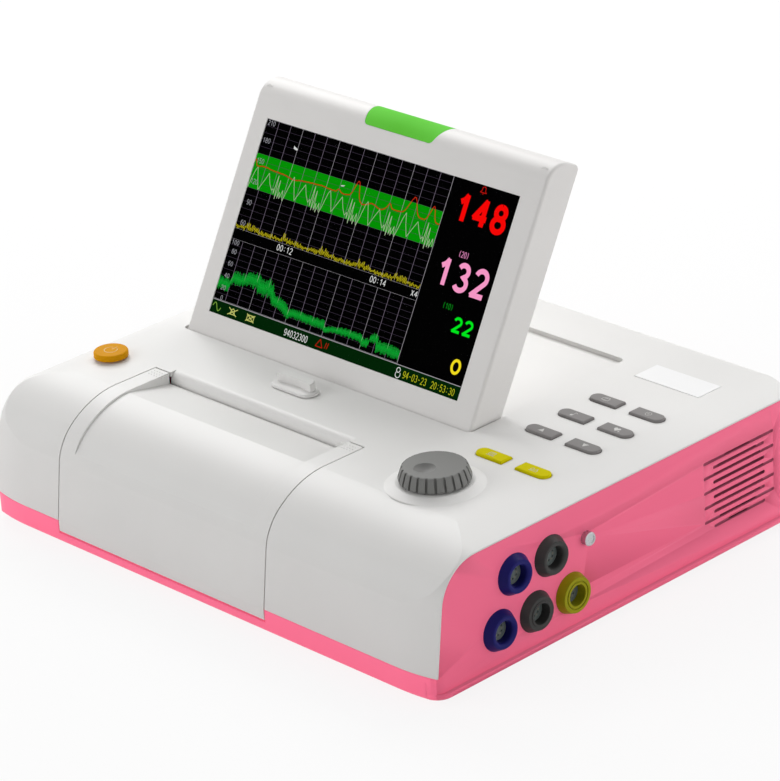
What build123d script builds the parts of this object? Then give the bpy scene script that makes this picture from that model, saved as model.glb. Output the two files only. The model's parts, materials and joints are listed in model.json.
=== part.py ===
from build123d import *
import os
from math import cos, radians, sin, sqrt, tan

# Desktop fetal monitor: a wide low housing with a paper recorder under a
# curved front door, a folding screen, a control knob, eight keys and a row of
# transducer sockets.
#
# Frame: millimetres, +Z up, the front faces -Y, the origin is on the resting
# plane below the centre of the housing.

os.makedirs("parts", exist_ok=True)

# ------------------------------------------------------------------ housing
body_width = 313.0
body_depth = 253.0
body_height = 69.5
wall = 2.5
seam_height = 12.1  # height of the coloured rim below the front seam
shell_gap = 0.1  # parting gap between the two shells

foot_height = 2.5
foot_sink = 0.8
foot_radius = 8.0
foot_inset = 32.0

front_lean = 8.2  # degrees that the front leans back
brow_low_radius = 27.0  # lower arc between the front and the top
brow_high_radius = 48.0  # upper, flatter arc
brow_turn = 40.0  # slope where the two arcs meet
brow_overlap = 0.06  # the brow arcs run this far past the flat front and top
corner_brow_radius = 22.8  # tighter brow that shows only at the sides
corner_length = 25.5  # the top and front fall away over this width at a side
corner_radius = 56.7
corner_back_share = 0.55  # how far a corner moves back for each millimetre down

side_inset = 1.9  # the side panels lie inside the base lip
side_lip_height = 3.9
lip_corner_round = 4.0  # seen from above, at the front ends of the lip
shell_lip = 0.8  # edge of the white shell that shows round a side panel
base_round = 2.8
rear_round = 6.0
rear_corner_radius = 22.0
rear_overhang = 2.8  # the rear corner arcs start this far outside the sides

base_z = foot_height
floor_z = base_z + wall
top_z = base_z + body_height
seam_z = base_z + seam_height
front_y = -body_depth / 2
rear_y = body_depth / 2
side_x = body_width / 2
panel_x = side_x - side_inset
inner_x = panel_x - wall
under_z = top_z - wall

# -------------------------------------------------------------- paper door
door_center_x = -30.4
door_width = 148.0
door_depth = 70.2
door_bottom_z = 8.7
door_wall = 2.5
door_gap = 0.6
door_floor_gap = 0.8
door_cheek = 2.0
door_cheek_depth = 9.0
door_band = 10.2  # flat band beside the paper recess
recess_depth = 5.8
recess_crest_turn = 2.5  # slope of the brow at the recess crest
recess_crest_depth = 0.9
recess_end_turn = 66.0  # slope of the brow where the recess runs out
recess_fade_turn = 56.0
recess_floor = 2.2
door_pin_depth = 2.2
door_pin_height = 2.5
door_pin_radius = 1.0
door_pin_length = 2.8
door_boss_width = 8.0
pin_clearance = 0.06
door_edge_round = 0.8
tear_lip_round = 4.5
tear_lip_depth = 5.0
tear_lip_height = 9.0

door_back_y = front_y + door_depth
door_left_x = door_center_x - door_width / 2
door_right_x = door_center_x + door_width / 2
recess_width = door_width - 2 * door_band
door_pin_y = front_y + door_pin_depth
door_pin_z = door_bottom_z + door_pin_height

# ---------------------------------------------------------- paper recorder
paper_width = 112.0
paper_length = 88.0
paper_height = 16.0
paper_folds = 8
fold_stagger = 0.4
guide_gap = 0.6
tray_wall = 1.8
tray_front_gap = 10.0  # from the front face to the tray
paper_end_gap = 2.7
tray_bar_height = 17.0
tray_side_gap = 1.1
tray_gap = 0.3
tray_form_gap = 0.9
tray_rear_height = 42.0
roller_radius = 6.0
roller_shaft_radius = 2.0
roller_z = 56.5
roller_set_back = 6.2  # roller axis ahead of the door's rear edge
roller_arm = 3.0
roller_end_gap = 0.4
head_gap = 0.3
head_thickness = 6.4
head_height = 12.0
slot_gap = 1.0  # paper passes between the door and the tear lip
frame_sheet = 1.5
frame_foot_z = 44.0
frame_top_z = 64.5
frame_reach = 20.0
motor_radius = 10.0
motor_length = 22.0

roller_y = door_back_y - roller_set_back
tray_front_y = front_y + tray_front_gap
paper_front_y = tray_front_y + tray_wall + paper_end_gap
tray_back_y = paper_front_y + paper_length + paper_end_gap + tray_wall + 1.5
tray_right_x = door_center_x + door_width / 2 + tray_side_gap + tray_wall
tray_left_x = door_center_x - door_width / 2 - tray_side_gap - tray_wall

# ----------------------------------------------------------------- screen
screen_center_x = -30.0
screen_width = 201.0
screen_length = 134.4
screen_depth = 19.6
screen_tilt = 28.9  # degrees back from upright
screen_foot_y = -12.9  # where the front plane would meet the top
screen_wall = 2.5
screen_sink = 1.8  # the screen's foot sits this far below the top
screen_brow = 12.0
screen_back_round = 2.5
screen_edge_round = 1.6
window_side = 12.5  # frame beside the window, on average
window_length = 101.2
window_offset_x = -1.0
window_foot = 11.2
window_rim = 0.4  # wall left in front of the glass
glass_margin = 3.6
glass_thickness = 0.7
lcd_margin = 2.0
lcd_thickness = 5.0
seat_gap = 0.1
light_length = 10.6  # how far the light reaches down from the top edge
light_low_width = 46.0
light_high_width = 55.0
light_depth = 12.0
light_wall = 2.2
light_offset_x = -0.8
light_corner_round = 3.0
cover_thickness = 2.2
hinge_bar_depth = 8.4
hinge_bar_reach = 5.8  # solid bar above the hinge axis
screen_post_radius = 2.4
screen_post_inset = 5.2
screen_screw_radius = 1.2
screen_screw_length = 9.0
screen_screw_head = 0.9  # height of the head, sunk flush in the back cover

hinge_inset = 2.4
hinge_spread = 120.0
hinge_clearance = 0.05
hinge_pin_radius = 1.25
hinge_pin_length = 24.0
hinge_notch_radius = 4.2
hinge_notch_width = 11.0
hinge_ear_width = 10.0
hinge_ear_radius = 2.2
hinge_ear_half = 2.0
hinge_plate = 2.0
hinge_plate_width = 24.0
hinge_plate_depth = 20.0

screen_tray_gap = 1.3
screen_tray_depth = 2.2
screen_tray_floor = 2.3
screen_tray_front_y = -14.8
screen_tray_rear_gap = 33.1  # from the end of the tray to the rear
screen_tray_round = 3.0

# ----------------------------------------------------- knob, keys, buttons
knob_front_gap = 62.9  # from the front face to the knob's axis
knob_radius = 17.2
knob_top_radius = 14.6
knob_height = 7.0
knob_push_gap = 0.7
knob_groove_count = 24
knob_groove_width = 0.9
knob_groove_depth = 0.8
knob_cavity_radius = 14.2
knob_hub_radius = 5.5
knob_wall = 2.4
dimple_at = (-1.0, -5.4)
dimple_radius = 5.7
dimple_depth = 1.3
collar_foot_radius = 23.8
collar_top_radius = 18.6
collar_height = 2.0
collar_bore_radius = 8.0
shaft_radius = 3.0
bushing_radius = 4.2
encoder_size = 13.0
encoder_height = 7.0
encoder_floor = 1.0
bushing_height = 5.0
knob_push = 0.5
spindle_clearance = 0.05

power_front_gap = 64.3
power_offset = 2.3  # toward the side, from the middle of the strip beside the door
power_radius = 8.75
power_height = 3.0
power_gap = 1.0
power_stem_radius = 6.0
power_flange_drop = 1.2
power_stem_foot = 4.0
power_switch_height = 8.0
power_board = 24.0
button_gap = 0.35
flange_margin = 1.2
flange_height = 1.6
flange_gap = 0.3

key_width = 18.4
key_length = 7.6
key_proud = 1.3
key_round = 0.7
key_stem_radius = 2.2
key_stem_foot_z = 64.0
key_column_pitch = 27.2
key_offset = 2.85  # the keys stand this far off the middle of their strip
key_rows_y = (-26.2, 7.3, 29.5, 51.4)

keyboard_thickness = 1.6
mat_thickness = 0.6
dome_radius = 3.2
dome_height = 1.2
dome_gap = 1.1
keyboard_margin = 14.8  # board beside the centre lines of the key columns
keyboard_front_gap = 10.4  # board ahead of the knob's axis
keyboard_back_gap = 16.6
mat_margin = 7.8

latch_x = -30.5
latch_y = -31.4
latch_width = 29.0
latch_length = 11.6
latch_plate = 1.4
latch_rib_height = 4.9
latch_rib_length = 5.0
latch_rib_inset = 2.6
latch_hollow_radius = 46.0  # the rib's front face is hollowed to this radius
latch_hollow_depth = 1.1
latch_travel = 3.0
latch_gap = 0.3
latch_stem_width = 14.0
latch_stem_length = 4.0

badge_rear_gap = 36.7
badge_offset = 2.5
badge_width = 41.4
badge_length = 16.5
badge_thickness = 1.0
badge_proud = 0.3

# ---------------------------------------------------------------- sockets
socket_pitch = 23.7
socket_low_gap = 43.2  # from the front face to the first lower socket
socket_low_z = 23.2
socket_high_gap = 54.3
socket_high_z = 47.2
socket_foot_radius = 10.2
socket_front_radius = 7.9
socket_reach = 4.2
socket_mouth_round = 1.9
socket_rim_round = 0.6
lip_width = 1.0
lip_depth = 0.35
groove_radius = 6.7
groove_width = 0.6
groove_depth = 0.5
flat_front_radius = 8.7
socket_barrel_radius = 8.0
socket_bore_radius = 5.2
socket_bore_depth = 9.0
socket_barrel_length = 16.0
insert_radius = 4.9
insert_pin_radius = 0.6
insert_pin_ring = 2.6
insert_pin_count = 6
insert_pin_length = 4.0
socket_nut_radius = 9.8
socket_nut = 2.0
stud_radius = 3.4
stud_reach = 3.4
stud_rim = 0.7
stud_dish = 0.3

# ---------------------------------------------------------------- speaker
speaker_rear_gap = 45.1
slot_top_z = 53.3
slot_pitch = 3.83
slot_count = 10
slot_long = 50.2
slot_short = 36.8
slot_height = 1.7
slot_groove_depth = 1.3
speaker_hole_radius = 19.0
speaker_radius = 21.5
speaker_rim = 3.0
speaker_cone_depth = 13.0
speaker_magnet_radius = 12.0
speaker_magnet_length = 8.0

# -------------------------------------------------------------- rear ports
inlet_side_gap = 60.5
inlet_z = 30.0
inlet_width = 27.0
inlet_height = 19.6
inlet_flange = 2.0
inlet_depth = 22.0
inlet_wall = 1.5
inlet_back = 2.0
inlet_pin_width = 2.0
inlet_pin_height = 4.0
inlet_pin_spread = 7.0
inlet_pin_rise = 1.5
inlet_earth_drop = 2.5
port_side_gap = 56.5
port_z = 17.1
port_depth = 18.0
port_width = 15.6
port_height = 13.0
port_wall = 1.6
port_frame = 2.5
port_proud = 0.4
vent_x = 45.0
vent_count = 9
vent_pitch = 6.0
vent_width = 2.4
vent_height = 26.0
vent_z = 38.0

# ------------------------------------------------------- boards and fixings
board_thickness = 1.6
board_tray_gap = 13.5
board_side_gap = 22.6
board_front_gap = 26.5
board_rear_gap = 20.5
# Parts on the main board: distance from its right edge, y, width, depth, height.
board_chips = ((42, -50, 24, 24, 2.6), (14, -20, 18, 14, 2.0), (42, 0, 14, 14, 8.0), (22, 30, 30, 10, 9.0))
screen_chip_pitch = (44.0, 30.0)
screen_chip_size = (16.0, 12.0)
screen_chip_height = 1.6
screen_board_margin = 10.0
supply_side_gap = 18.1
supply_right_x = -66.0
supply_rear_gap = 26.5
supply_depth = 72.0
supply_height = 38.0
battery_left_x = -56.0
battery_width = 104.0
battery_depth = 72.0
battery_height = 22.0
battery_rear_gap = 42.5
standoff_height = 4.0
screw_radius = 1.5
screw_head_radius = 2.9
screw_head_height = 2.0
screw_length = 36.0
post_radius = 4.0
post_split_z = 32.0
post_side_gap = 15.5
post_front_gap = 22.5
post_rear_gap = 17.5

straight_x = side_x - corner_length
lean_slope = tan(radians(front_lean))
brow_foot_z = (
    top_z
    - brow_high_radius * (1 - cos(radians(brow_turn)))
    - brow_low_radius * (cos(radians(brow_turn)) - sin(radians(front_lean)))
)
brow_foot_y = front_y + (brow_foot_z - seam_z) * lean_slope
brow_mid_y = brow_foot_y + brow_low_radius * (cos(radians(front_lean)) - sin(radians(brow_turn)))
brow_low_center = (
    brow_foot_y + brow_low_radius * cos(radians(front_lean)),
    brow_foot_z - brow_low_radius * sin(radians(front_lean)),
)
brow_high_center = (
    brow_mid_y + brow_high_radius * sin(radians(brow_turn)),
    top_z - brow_high_radius,
)


def corner_fall(x):
    """How far the form has moved down at a distance x from the middle."""
    beyond = max(0.0, abs(x) - straight_x)
    return (corner_radius - sqrt(corner_radius**2 - beyond**2)) / sqrt(1 + corner_back_share**2)


def brow_point(turn, inset=0.0):
    """A point (y, z) on the brow where the surface slopes down by turn degrees."""
    radius, center = brow_high_radius, brow_high_center
    if turn > brow_turn:
        radius, center = brow_low_radius, brow_low_center
    reach = radius - inset
    return (center[0] - reach * sin(radians(turn)), center[1] + reach * cos(radians(turn)))


def brow_cut(inset):
    """What lies outside the wide brow of two arcs between the front and the top."""
    lean = radians(front_lean)
    reach = side_x + 3 * rear_overhang
    low, high = Vector(brow_low_center), Vector(brow_high_center) + Vector(0, brow_overlap)
    front = Vector(-cos(lean), sin(lean))
    middle = Vector(-sin(radians(brow_turn)), cos(radians(brow_turn)))
    low_radius, high_radius = brow_low_radius - inset, brow_high_radius - inset
    with BuildPart() as cut:
        with BuildSketch(Plane.YZ.offset(-reach)):
            with BuildLine():
                foot = low + front * low_radius - Vector(brow_overlap, 0)
                joint = low + middle * low_radius + Vector(0, brow_overlap)
                head = high + Vector(0, high_radius)
                middle_low = (front + middle).normalized()
                middle_high = (middle + Vector(0, 1)).normalized()
                ThreePointArc(foot, low + middle_low * low_radius, joint)
                ThreePointArc(joint, high + middle_high * high_radius, head)
                Polyline(
                    head, head + Vector(0, body_height), foot + Vector(-body_height, body_height), foot,
                )
            make_face()
        extrude(amount=2 * reach)
    return cut.part


def draped_form(inset):
    """The front, brow and top: one side profile that slides along the front edge line.

    The line runs straight and then bends back and down in an arc at each end. The
    profile's own brow is tight, so that the sides look square, and the wide brow is
    cut across it.
    """
    reach = side_x + 2 * rear_overhang
    fall = corner_fall(reach)
    back_fall = corner_back_share * fall
    low = -20.0
    lean = radians(front_lean)
    radius = corner_brow_radius - inset
    center_z = top_z - corner_brow_radius
    center_y = front_y + (center_z - seam_z) * lean_slope + corner_brow_radius / cos(lean)
    with BuildPart() as form:
        with BuildLine() as edge_line:
            TangentArc([(straight_x, 0, 0), (reach, back_fall, -fall)], tangent=(1, 0, 0))
            Line((-straight_x, 0, 0), (straight_x, 0, 0))
            TangentArc([(-straight_x, 0, 0), (-reach, back_fall, -fall)], tangent=(-1, 0, 0))
        with BuildSketch(Plane.YZ.offset(-reach)):
            with BuildLine():
                front = front_y + inset / cos(lean) + back_fall
                foot = Line((front, low), (front, seam_z - fall))
                brow_start = (
                    center_y - radius * cos(lean) + back_fall, center_z + radius * sin(lean) - fall,
                )
                lean_line = Line(foot @ 1, brow_start)
                arc = JernArc(lean_line @ 1, (sin(lean), cos(lean)), radius, front_lean - 90)
                top = Line(arc @ 1, (rear_y + 2 * rear_round, (arc @ 1).Y))
                back = Line(top @ 1, (rear_y + 2 * rear_round, low))
                Line(back @ 1, foot @ 0)
            make_face()
        sweep(path=edge_line.wire(), normal=(1, 0, 0))
        add(brow_cut(inset), mode=Mode.SUBTRACT)
    return form.part


def housing_form(inset, half_width, bottom):
    """The housing's outer form, drawn in by an inset, between two side planes."""
    reach = panel_x + rear_overhang - inset
    length = 2 * body_depth
    with BuildPart() as form:
        with BuildSketch(Plane.XY.offset(bottom)) as plan:
            with Locations((0, rear_y - inset - length / 2)):
                Rectangle(2 * reach, length)
            fillet(plan.vertices().group_by(Axis.Y)[-1], rear_corner_radius - inset)
        extrude(amount=top_z - inset - bottom)
        rear_edge = form.edges().group_by(Axis.Z)[-1].sort_by(Axis.Y)[-1]
        fillet(rear_edge, rear_round - inset)
        add(draped_form(inset), mode=Mode.INTERSECT)
        with Locations((0, 0, bottom)):
            Box(
                2 * half_width, 2 * body_depth, 2 * top_z,
                align=(Align.CENTER, Align.CENTER, Align.MIN), mode=Mode.INTERSECT,
            )
    return form.part


def block(low, high, mode=Mode.ADD):
    """A box between two corners."""
    size = [b - a for a, b in zip(low, high)]
    with Locations(tuple((a + b) / 2 for a, b in zip(low, high))):
        return Box(*size, mode=mode)


def side_lips(inset):
    """The part of the form outside the side walls, below the edge of the white shell."""
    with BuildPart() as form:
        add(draped_form(inset))
        block((-panel_x, -body_depth, base_z), (panel_x, rear_corner_y, top_z), mode=Mode.INTERSECT)
        block((-inner_x, -body_depth, 0), (inner_x, body_depth, 2 * top_z), mode=Mode.SUBTRACT)
    return form.part


def disc(place, radius, start, height, plane=Plane.XY, mode=Mode.ADD):
    """A round piece on a plane: place, radius, offset of its foot, and height."""
    with BuildSketch(plane.offset(start)) as outline:
        with Locations(place):
            Circle(radius)
    return extrude(outline.sketch, amount=height, mode=mode)


def grille_slots():
    """The grille's row of long and short slots."""
    for i in range(slot_count):
        with Locations((speaker_y, slot_top_z - i * slot_pitch)):
            SlotOverall(slot_short if i % 2 else slot_long, slot_height)


def key_outline(side, grow):
    """A key seen from above: one end rounded, the end toward the other column straight."""
    SlotOverall(key_width + 2 * grow, key_length + 2 * grow)
    with Locations((-side * (key_width / 4 + grow / 2), 0)):
        Rectangle(key_width / 2 + grow, key_length + 2 * grow)


def screen_form(inset, width):
    """The screen's outer form drawn in by an inset: upright profile, extruded sideways."""
    lean = radians(screen_tilt)
    up = Vector(sin(lean), cos(lean))
    back = Vector(cos(lean), -sin(lean))
    foot = Vector(screen_foot_y, top_z)
    bottom_z = screen_bottom_z + inset
    front_foot = foot + back * inset
    front_foot = front_foot + up * ((bottom_z - front_foot.Y) / up.Y)
    front_top = foot + up * (screen_length - screen_brow) + back * inset
    top_front = foot + up * (screen_length - inset) + back * screen_brow
    turn = max(screen_back_round - inset, 0)
    top_back = foot + up * (screen_length - inset) + back * (screen_depth - inset - turn)
    back_top = foot + up * (screen_length - inset - turn) + back * (screen_depth - inset)
    hinge = Vector(hinge_y, hinge_z)
    with BuildPart() as form:
        with BuildSketch(Plane.YZ.offset(screen_center_x - width / 2)):
            with BuildLine():
                Line(front_foot, front_top)
                RadiusArc(front_top, top_front, screen_brow - inset)
                Line(top_front, top_back)
                if turn > 0.1:
                    RadiusArc(top_back, back_top, turn)
                if inset < hinge_inset - 0.1:
                    back_foot = hinge + back * (hinge_inset - inset)
                    bottom_back = hinge - Vector(0, hinge_inset - inset)
                    Line(back_top, back_foot)
                    RadiusArc(back_foot, bottom_back, hinge_inset - inset)
                    Line(bottom_back, front_foot)
                else:
                    back_foot = back_top + up * ((bottom_z - back_top.Y) / up.Y)
                    Line(back_top, back_foot)
                    Line(back_foot, front_foot)
            make_face()
        extrude(amount=width)
    return form.part


def light_outline(grow):
    """The alarm light seen from the front: a wide trapezium with rounded low corners."""
    low = light_low_width / 2 + grow
    high = light_high_width / 2 + grow
    with Locations((light_offset_x, 0)):
        with BuildSketch(Plane.XY, mode=Mode.PRIVATE) as outline:
            with BuildLine():
                Polyline(
                    (-low, light_foot - grow), (low, light_foot - grow),
                    (high, screen_length + screen_wall), (-high, screen_length + screen_wall),
                    close=True,
                )
            make_face()
            fillet(outline.vertices().group_by(Axis.Y)[0], light_corner_round)
        add(outline.sketch)


def finish(builder, name):
    """Label a finished piece and write it."""
    builder.part.label = name
    export_step(builder.part, f"parts/{name}.step")


# Places that follow the sides, the front and the rear.
window_width = screen_width - 2 * window_side
light_foot = screen_length - light_length
screen_tray_back_y = rear_y - screen_tray_rear_gap
screen_tray_right_x = screen_center_x + screen_width / 2 + screen_tray_gap + wall
key_center_x = (screen_tray_right_x + panel_x) / 2 - key_offset
key_left_x = key_center_x - key_column_pitch / 2
key_right_x = key_center_x + key_column_pitch / 2
knob_x = key_left_x
knob_y = front_y + knob_front_gap
power_x = (tray_left_x - inner_x) / 2 - power_offset
power_y = front_y + power_front_gap
keyboard_x = (key_left_x - keyboard_margin, key_right_x + keyboard_margin)
keyboard_y = (knob_y - keyboard_front_gap, max(key_rows_y) + keyboard_back_gap)
badge_x = key_center_x - badge_offset
badge_y = rear_y - badge_rear_gap
socket_low_y = front_y + socket_low_gap
socket_high_y = front_y + socket_high_gap
speaker_y = rear_y - speaker_rear_gap
inlet_x = inlet_side_gap - side_x
port_x = side_x - port_side_gap
board_x = (tray_right_x + board_tray_gap, panel_x - board_side_gap)
board_y = (front_y + board_front_gap, rear_y - board_rear_gap)
post_x = side_x - post_side_gap
post_front_y = front_y + post_front_gap
post_back_y = rear_y - post_rear_gap

# The seam between the shells runs round the sides and the rear at one height.
rear_corner_y = rear_y - rear_corner_radius
rear_seam_z = top_z - corner_fall(panel_x) - shell_lip

# The screen: its front plane, its hinge axis and the edges of its back cover.
tilt = radians(screen_tilt)
screen_bottom_z = top_z - screen_sink
hinge_z = screen_bottom_z + hinge_inset
hinge_y = screen_foot_y + (
    screen_depth - hinge_inset + (hinge_z - top_z) * sin(tilt)
) / cos(tilt)
hinge_slope = (hinge_y - screen_foot_y) * sin(tilt) + (hinge_z - top_z) * cos(tilt)
hinge_xs = (screen_center_x - hinge_spread / 2, screen_center_x + hinge_spread / 2)
hinge_plate_z = top_z - screen_tray_depth - screen_tray_floor
screen_plane = Plane(
    origin=(screen_center_x, screen_foot_y, top_z), x_dir=(1, 0, 0), z_dir=(0, -cos(tilt), sin(tilt))
)
lcd_front = window_rim + 2 * seat_gap + glass_thickness
window_center = (window_offset_x, window_foot + window_length / 2)
cover_foot = hinge_slope + hinge_bar_reach
cover_top = screen_length - screen_wall
screen_posts = [
    (sx * (screen_width / 2 - screen_post_inset), y)
    for sx in (-1, 1)
    for y in (cover_foot + screen_post_inset, cover_top - screen_post_inset)
]

# Heights of the moving controls and the board below them.
key_flange_z = under_z - flange_gap
keyboard_top_z = key_stem_foot_z - dome_gap - dome_height - mat_thickness
knob_foot_z = top_z + collar_height + knob_push_gap
knob_top_z = knob_foot_z + knob_height
spindle_foot_z = keyboard_top_z + encoder_floor + knob_push + seat_gap
power_flange_z = under_z - power_flange_drop
power_stem_foot_z = power_flange_z - flange_height - power_stem_foot
power_board_z = power_stem_foot_z - power_switch_height
latch_hook_z = under_z - flange_gap

# The print frame stands behind the print head, the motor beside it.
frame_y = roller_y + roller_radius + head_gap + head_thickness
frame_left_x = door_center_x - paper_width / 2 - 2 * roller_arm
frame_right_x = tray_right_x + tray_wall
motor_y = frame_y + frame_reach / 2
motor_z = (frame_foot_z + frame_top_z) / 2 - motor_radius

# The socket inserts stand on a board behind the side panel.
socket_board_x = panel_x - socket_barrel_length - 1.0
insert_face_x = panel_x + socket_reach - socket_bore_depth

# Feet, screws and posts share these places.
foot_places = [
    (sx * (side_x - foot_inset), sy * (rear_y - foot_inset)) for sx in (-1, 1) for sy in (-1, 1)
]
post_places = [(sx * post_x, y) for sx in (-1, 1) for y in (post_front_y, post_back_y)]

socket_places = {
    "ultrasound_socket_1": (socket_high_y, socket_high_z),
    "ultrasound_socket_2": (socket_low_y, socket_low_z),
    "toco_socket": (socket_high_y + socket_pitch, socket_high_z),
    "stimulator_socket": (socket_low_y + socket_pitch, socket_low_z),
    "marker_socket": (socket_low_y + 2 * socket_pitch, socket_low_z),
}
stud_place = (socket_high_y + 2 * socket_pitch, socket_high_z)
speaker_z = slot_top_z - slot_pitch * (slot_count - 1) / 2

outer_form = housing_form(0.0, panel_x, base_z)
inner_form = housing_form(wall, inner_x, floor_z)

# ============================================================ bottom housing
with BuildPart() as bottom_housing:
    # Base tray, with a lip that stands out at the sides.
    add(housing_form(0.0, side_x, base_z))
    fillet(bottom_housing.edges().group_by(Axis.Z)[0], base_round)
    corner_y = front_y + corner_back_share * corner_fall(side_x)
    for sx in (-1, 1):
        with BuildSketch(Plane.XY):
            with BuildLine():
                inner, outer = sx * (side_x - lip_corner_round), sx * (side_x + lip_corner_round)
                RadiusArc(
                    (sx * side_x, corner_y + lip_corner_round), (inner, corner_y), sx * lip_corner_round,
                )
                Polyline(
                    (inner, corner_y), (inner, corner_y - lip_corner_round),
                    (outer, corner_y - lip_corner_round), (outer, corner_y + lip_corner_round),
                    (sx * side_x, corner_y + lip_corner_round),
                )
            make_face()
        extrude(amount=seam_z, mode=Mode.SUBTRACT)
    for sx in (-1, 1):
        block(
            (min(sx * panel_x, sx * 2 * panel_x), -body_depth, base_z + side_lip_height),
            (max(sx * panel_x, sx * 2 * panel_x), body_depth, 2 * top_z),
            mode=Mode.SUBTRACT,
        )
    # What rises above the front seam: two flat side panels and the rear wall.
    with BuildPart(mode=Mode.PRIVATE) as raised:
        add(side_lips(shell_lip))
        with BuildPart(mode=Mode.PRIVATE) as rear_wall:
            add(outer_form)
            block(
                (-panel_x, rear_corner_y, base_z), (panel_x, rear_y, rear_seam_z), mode=Mode.INTERSECT,
            )
        add(rear_wall.part)
        block((-side_x, -body_depth, base_z), (side_x, body_depth, seam_z))
    add(raised.part, mode=Mode.INTERSECT)
    add(inner_form, mode=Mode.SUBTRACT)

    # Bosses beside the door notch, then the notch and its pin holes.
    for side in (-1, 1):
        edge_x = door_center_x + side * (door_width / 2 + door_gap)
        block(
            (min(edge_x, edge_x + side * door_boss_width), front_y + wall / 2, floor_z - wall / 2),
            (max(edge_x, edge_x + side * door_boss_width), front_y + 3 * wall, seam_z),
        )
    block(
        (door_left_x - door_gap, front_y - wall, door_bottom_z - door_floor_gap),
        (door_right_x + door_gap, front_y + 2 * door_cheek_depth, seam_z + wall),
        mode=Mode.SUBTRACT,
    )
    with BuildSketch(Plane.YZ.offset(door_left_x - 2 * door_pin_length)):
        with Locations((door_pin_y, door_pin_z)):
            Circle(door_pin_radius + pin_clearance)
    extrude(amount=door_width + 4 * door_pin_length, mode=Mode.SUBTRACT)

    # Foot recesses and screw posts.
    with BuildSketch(Plane.XY.offset(base_z)):
        with Locations(*foot_places):
            Circle(foot_radius + seat_gap)
    extrude(amount=foot_sink, mode=Mode.SUBTRACT)
    for x, y in post_places:
        with BuildSketch(Plane.XY.offset(floor_z - wall / 2)):
            with Locations((x, y)):
                Circle(post_radius)
        extrude(amount=post_split_z - floor_z + wall / 2)
    with BuildSketch(Plane.XY.offset(base_z)):
        with Locations(*post_places):
            Circle(screw_radius + 2 * pin_clearance)
    extrude(amount=post_split_z, mode=Mode.SUBTRACT)
    with BuildSketch(Plane.XY.offset(base_z)):
        with Locations(*post_places):
            Circle(screw_head_radius + 2 * pin_clearance)
    extrude(amount=wall + screw_head_height, mode=Mode.SUBTRACT)

    # Standoffs for the main board.
    for x in (board_x[0] + post_radius, board_x[1] - 2 * post_radius):
        for y in (board_y[0] + 4 * post_radius, board_y[1] - 4 * post_radius):
            disc((x, y), post_radius - 1, floor_z - wall / 2, standoff_height + wall / 2)

    # Socket and stud holes in the right side panel.
    with BuildSketch(Plane.YZ.offset(inner_x - wall)):
        with Locations(*socket_places.values()):
            Circle(socket_barrel_radius + seat_gap)
        with Locations(stud_place):
            Circle(stud_radius * 0.6 + seat_gap)
    extrude(amount=3 * wall, mode=Mode.SUBTRACT)

    # Speaker grille: long and short grooves by turns, open only over the cone.
    with BuildSketch(Plane.YZ.offset(panel_x - slot_groove_depth)):
        grille_slots()
    extrude(amount=2 * slot_groove_depth, mode=Mode.SUBTRACT)
    with BuildPart(mode=Mode.PRIVATE) as openings:
        with BuildSketch(Plane.YZ.offset(inner_x - wall)):
            grille_slots()
        extrude(amount=3 * wall)
        with BuildSketch(Plane.YZ.offset(inner_x - wall)):
            with Locations((speaker_y, speaker_z)):
                Circle(speaker_hole_radius)
        extrude(amount=3 * wall, mode=Mode.INTERSECT)
    add(openings.part, mode=Mode.SUBTRACT)

    # Rear wall: mains inlet, network port and cooling vents.
    with BuildSketch(Plane.XZ.offset(-rear_y - wall)):
        with Locations((inlet_x, inlet_z)):
            Rectangle(inlet_width + 2 * seat_gap, inlet_height + 2 * seat_gap)
        with Locations((port_x, port_z)):
            Rectangle(port_width + 2 * seat_gap, port_height + 2 * seat_gap)
        with Locations((vent_x, vent_z)):
            with GridLocations(vent_pitch, 1, vent_count, 1):
                SlotOverall(vent_height, vent_width, rotation=90)
    extrude(amount=4 * wall, mode=Mode.SUBTRACT)
finish(bottom_housing, "bottom_housing")

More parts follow.
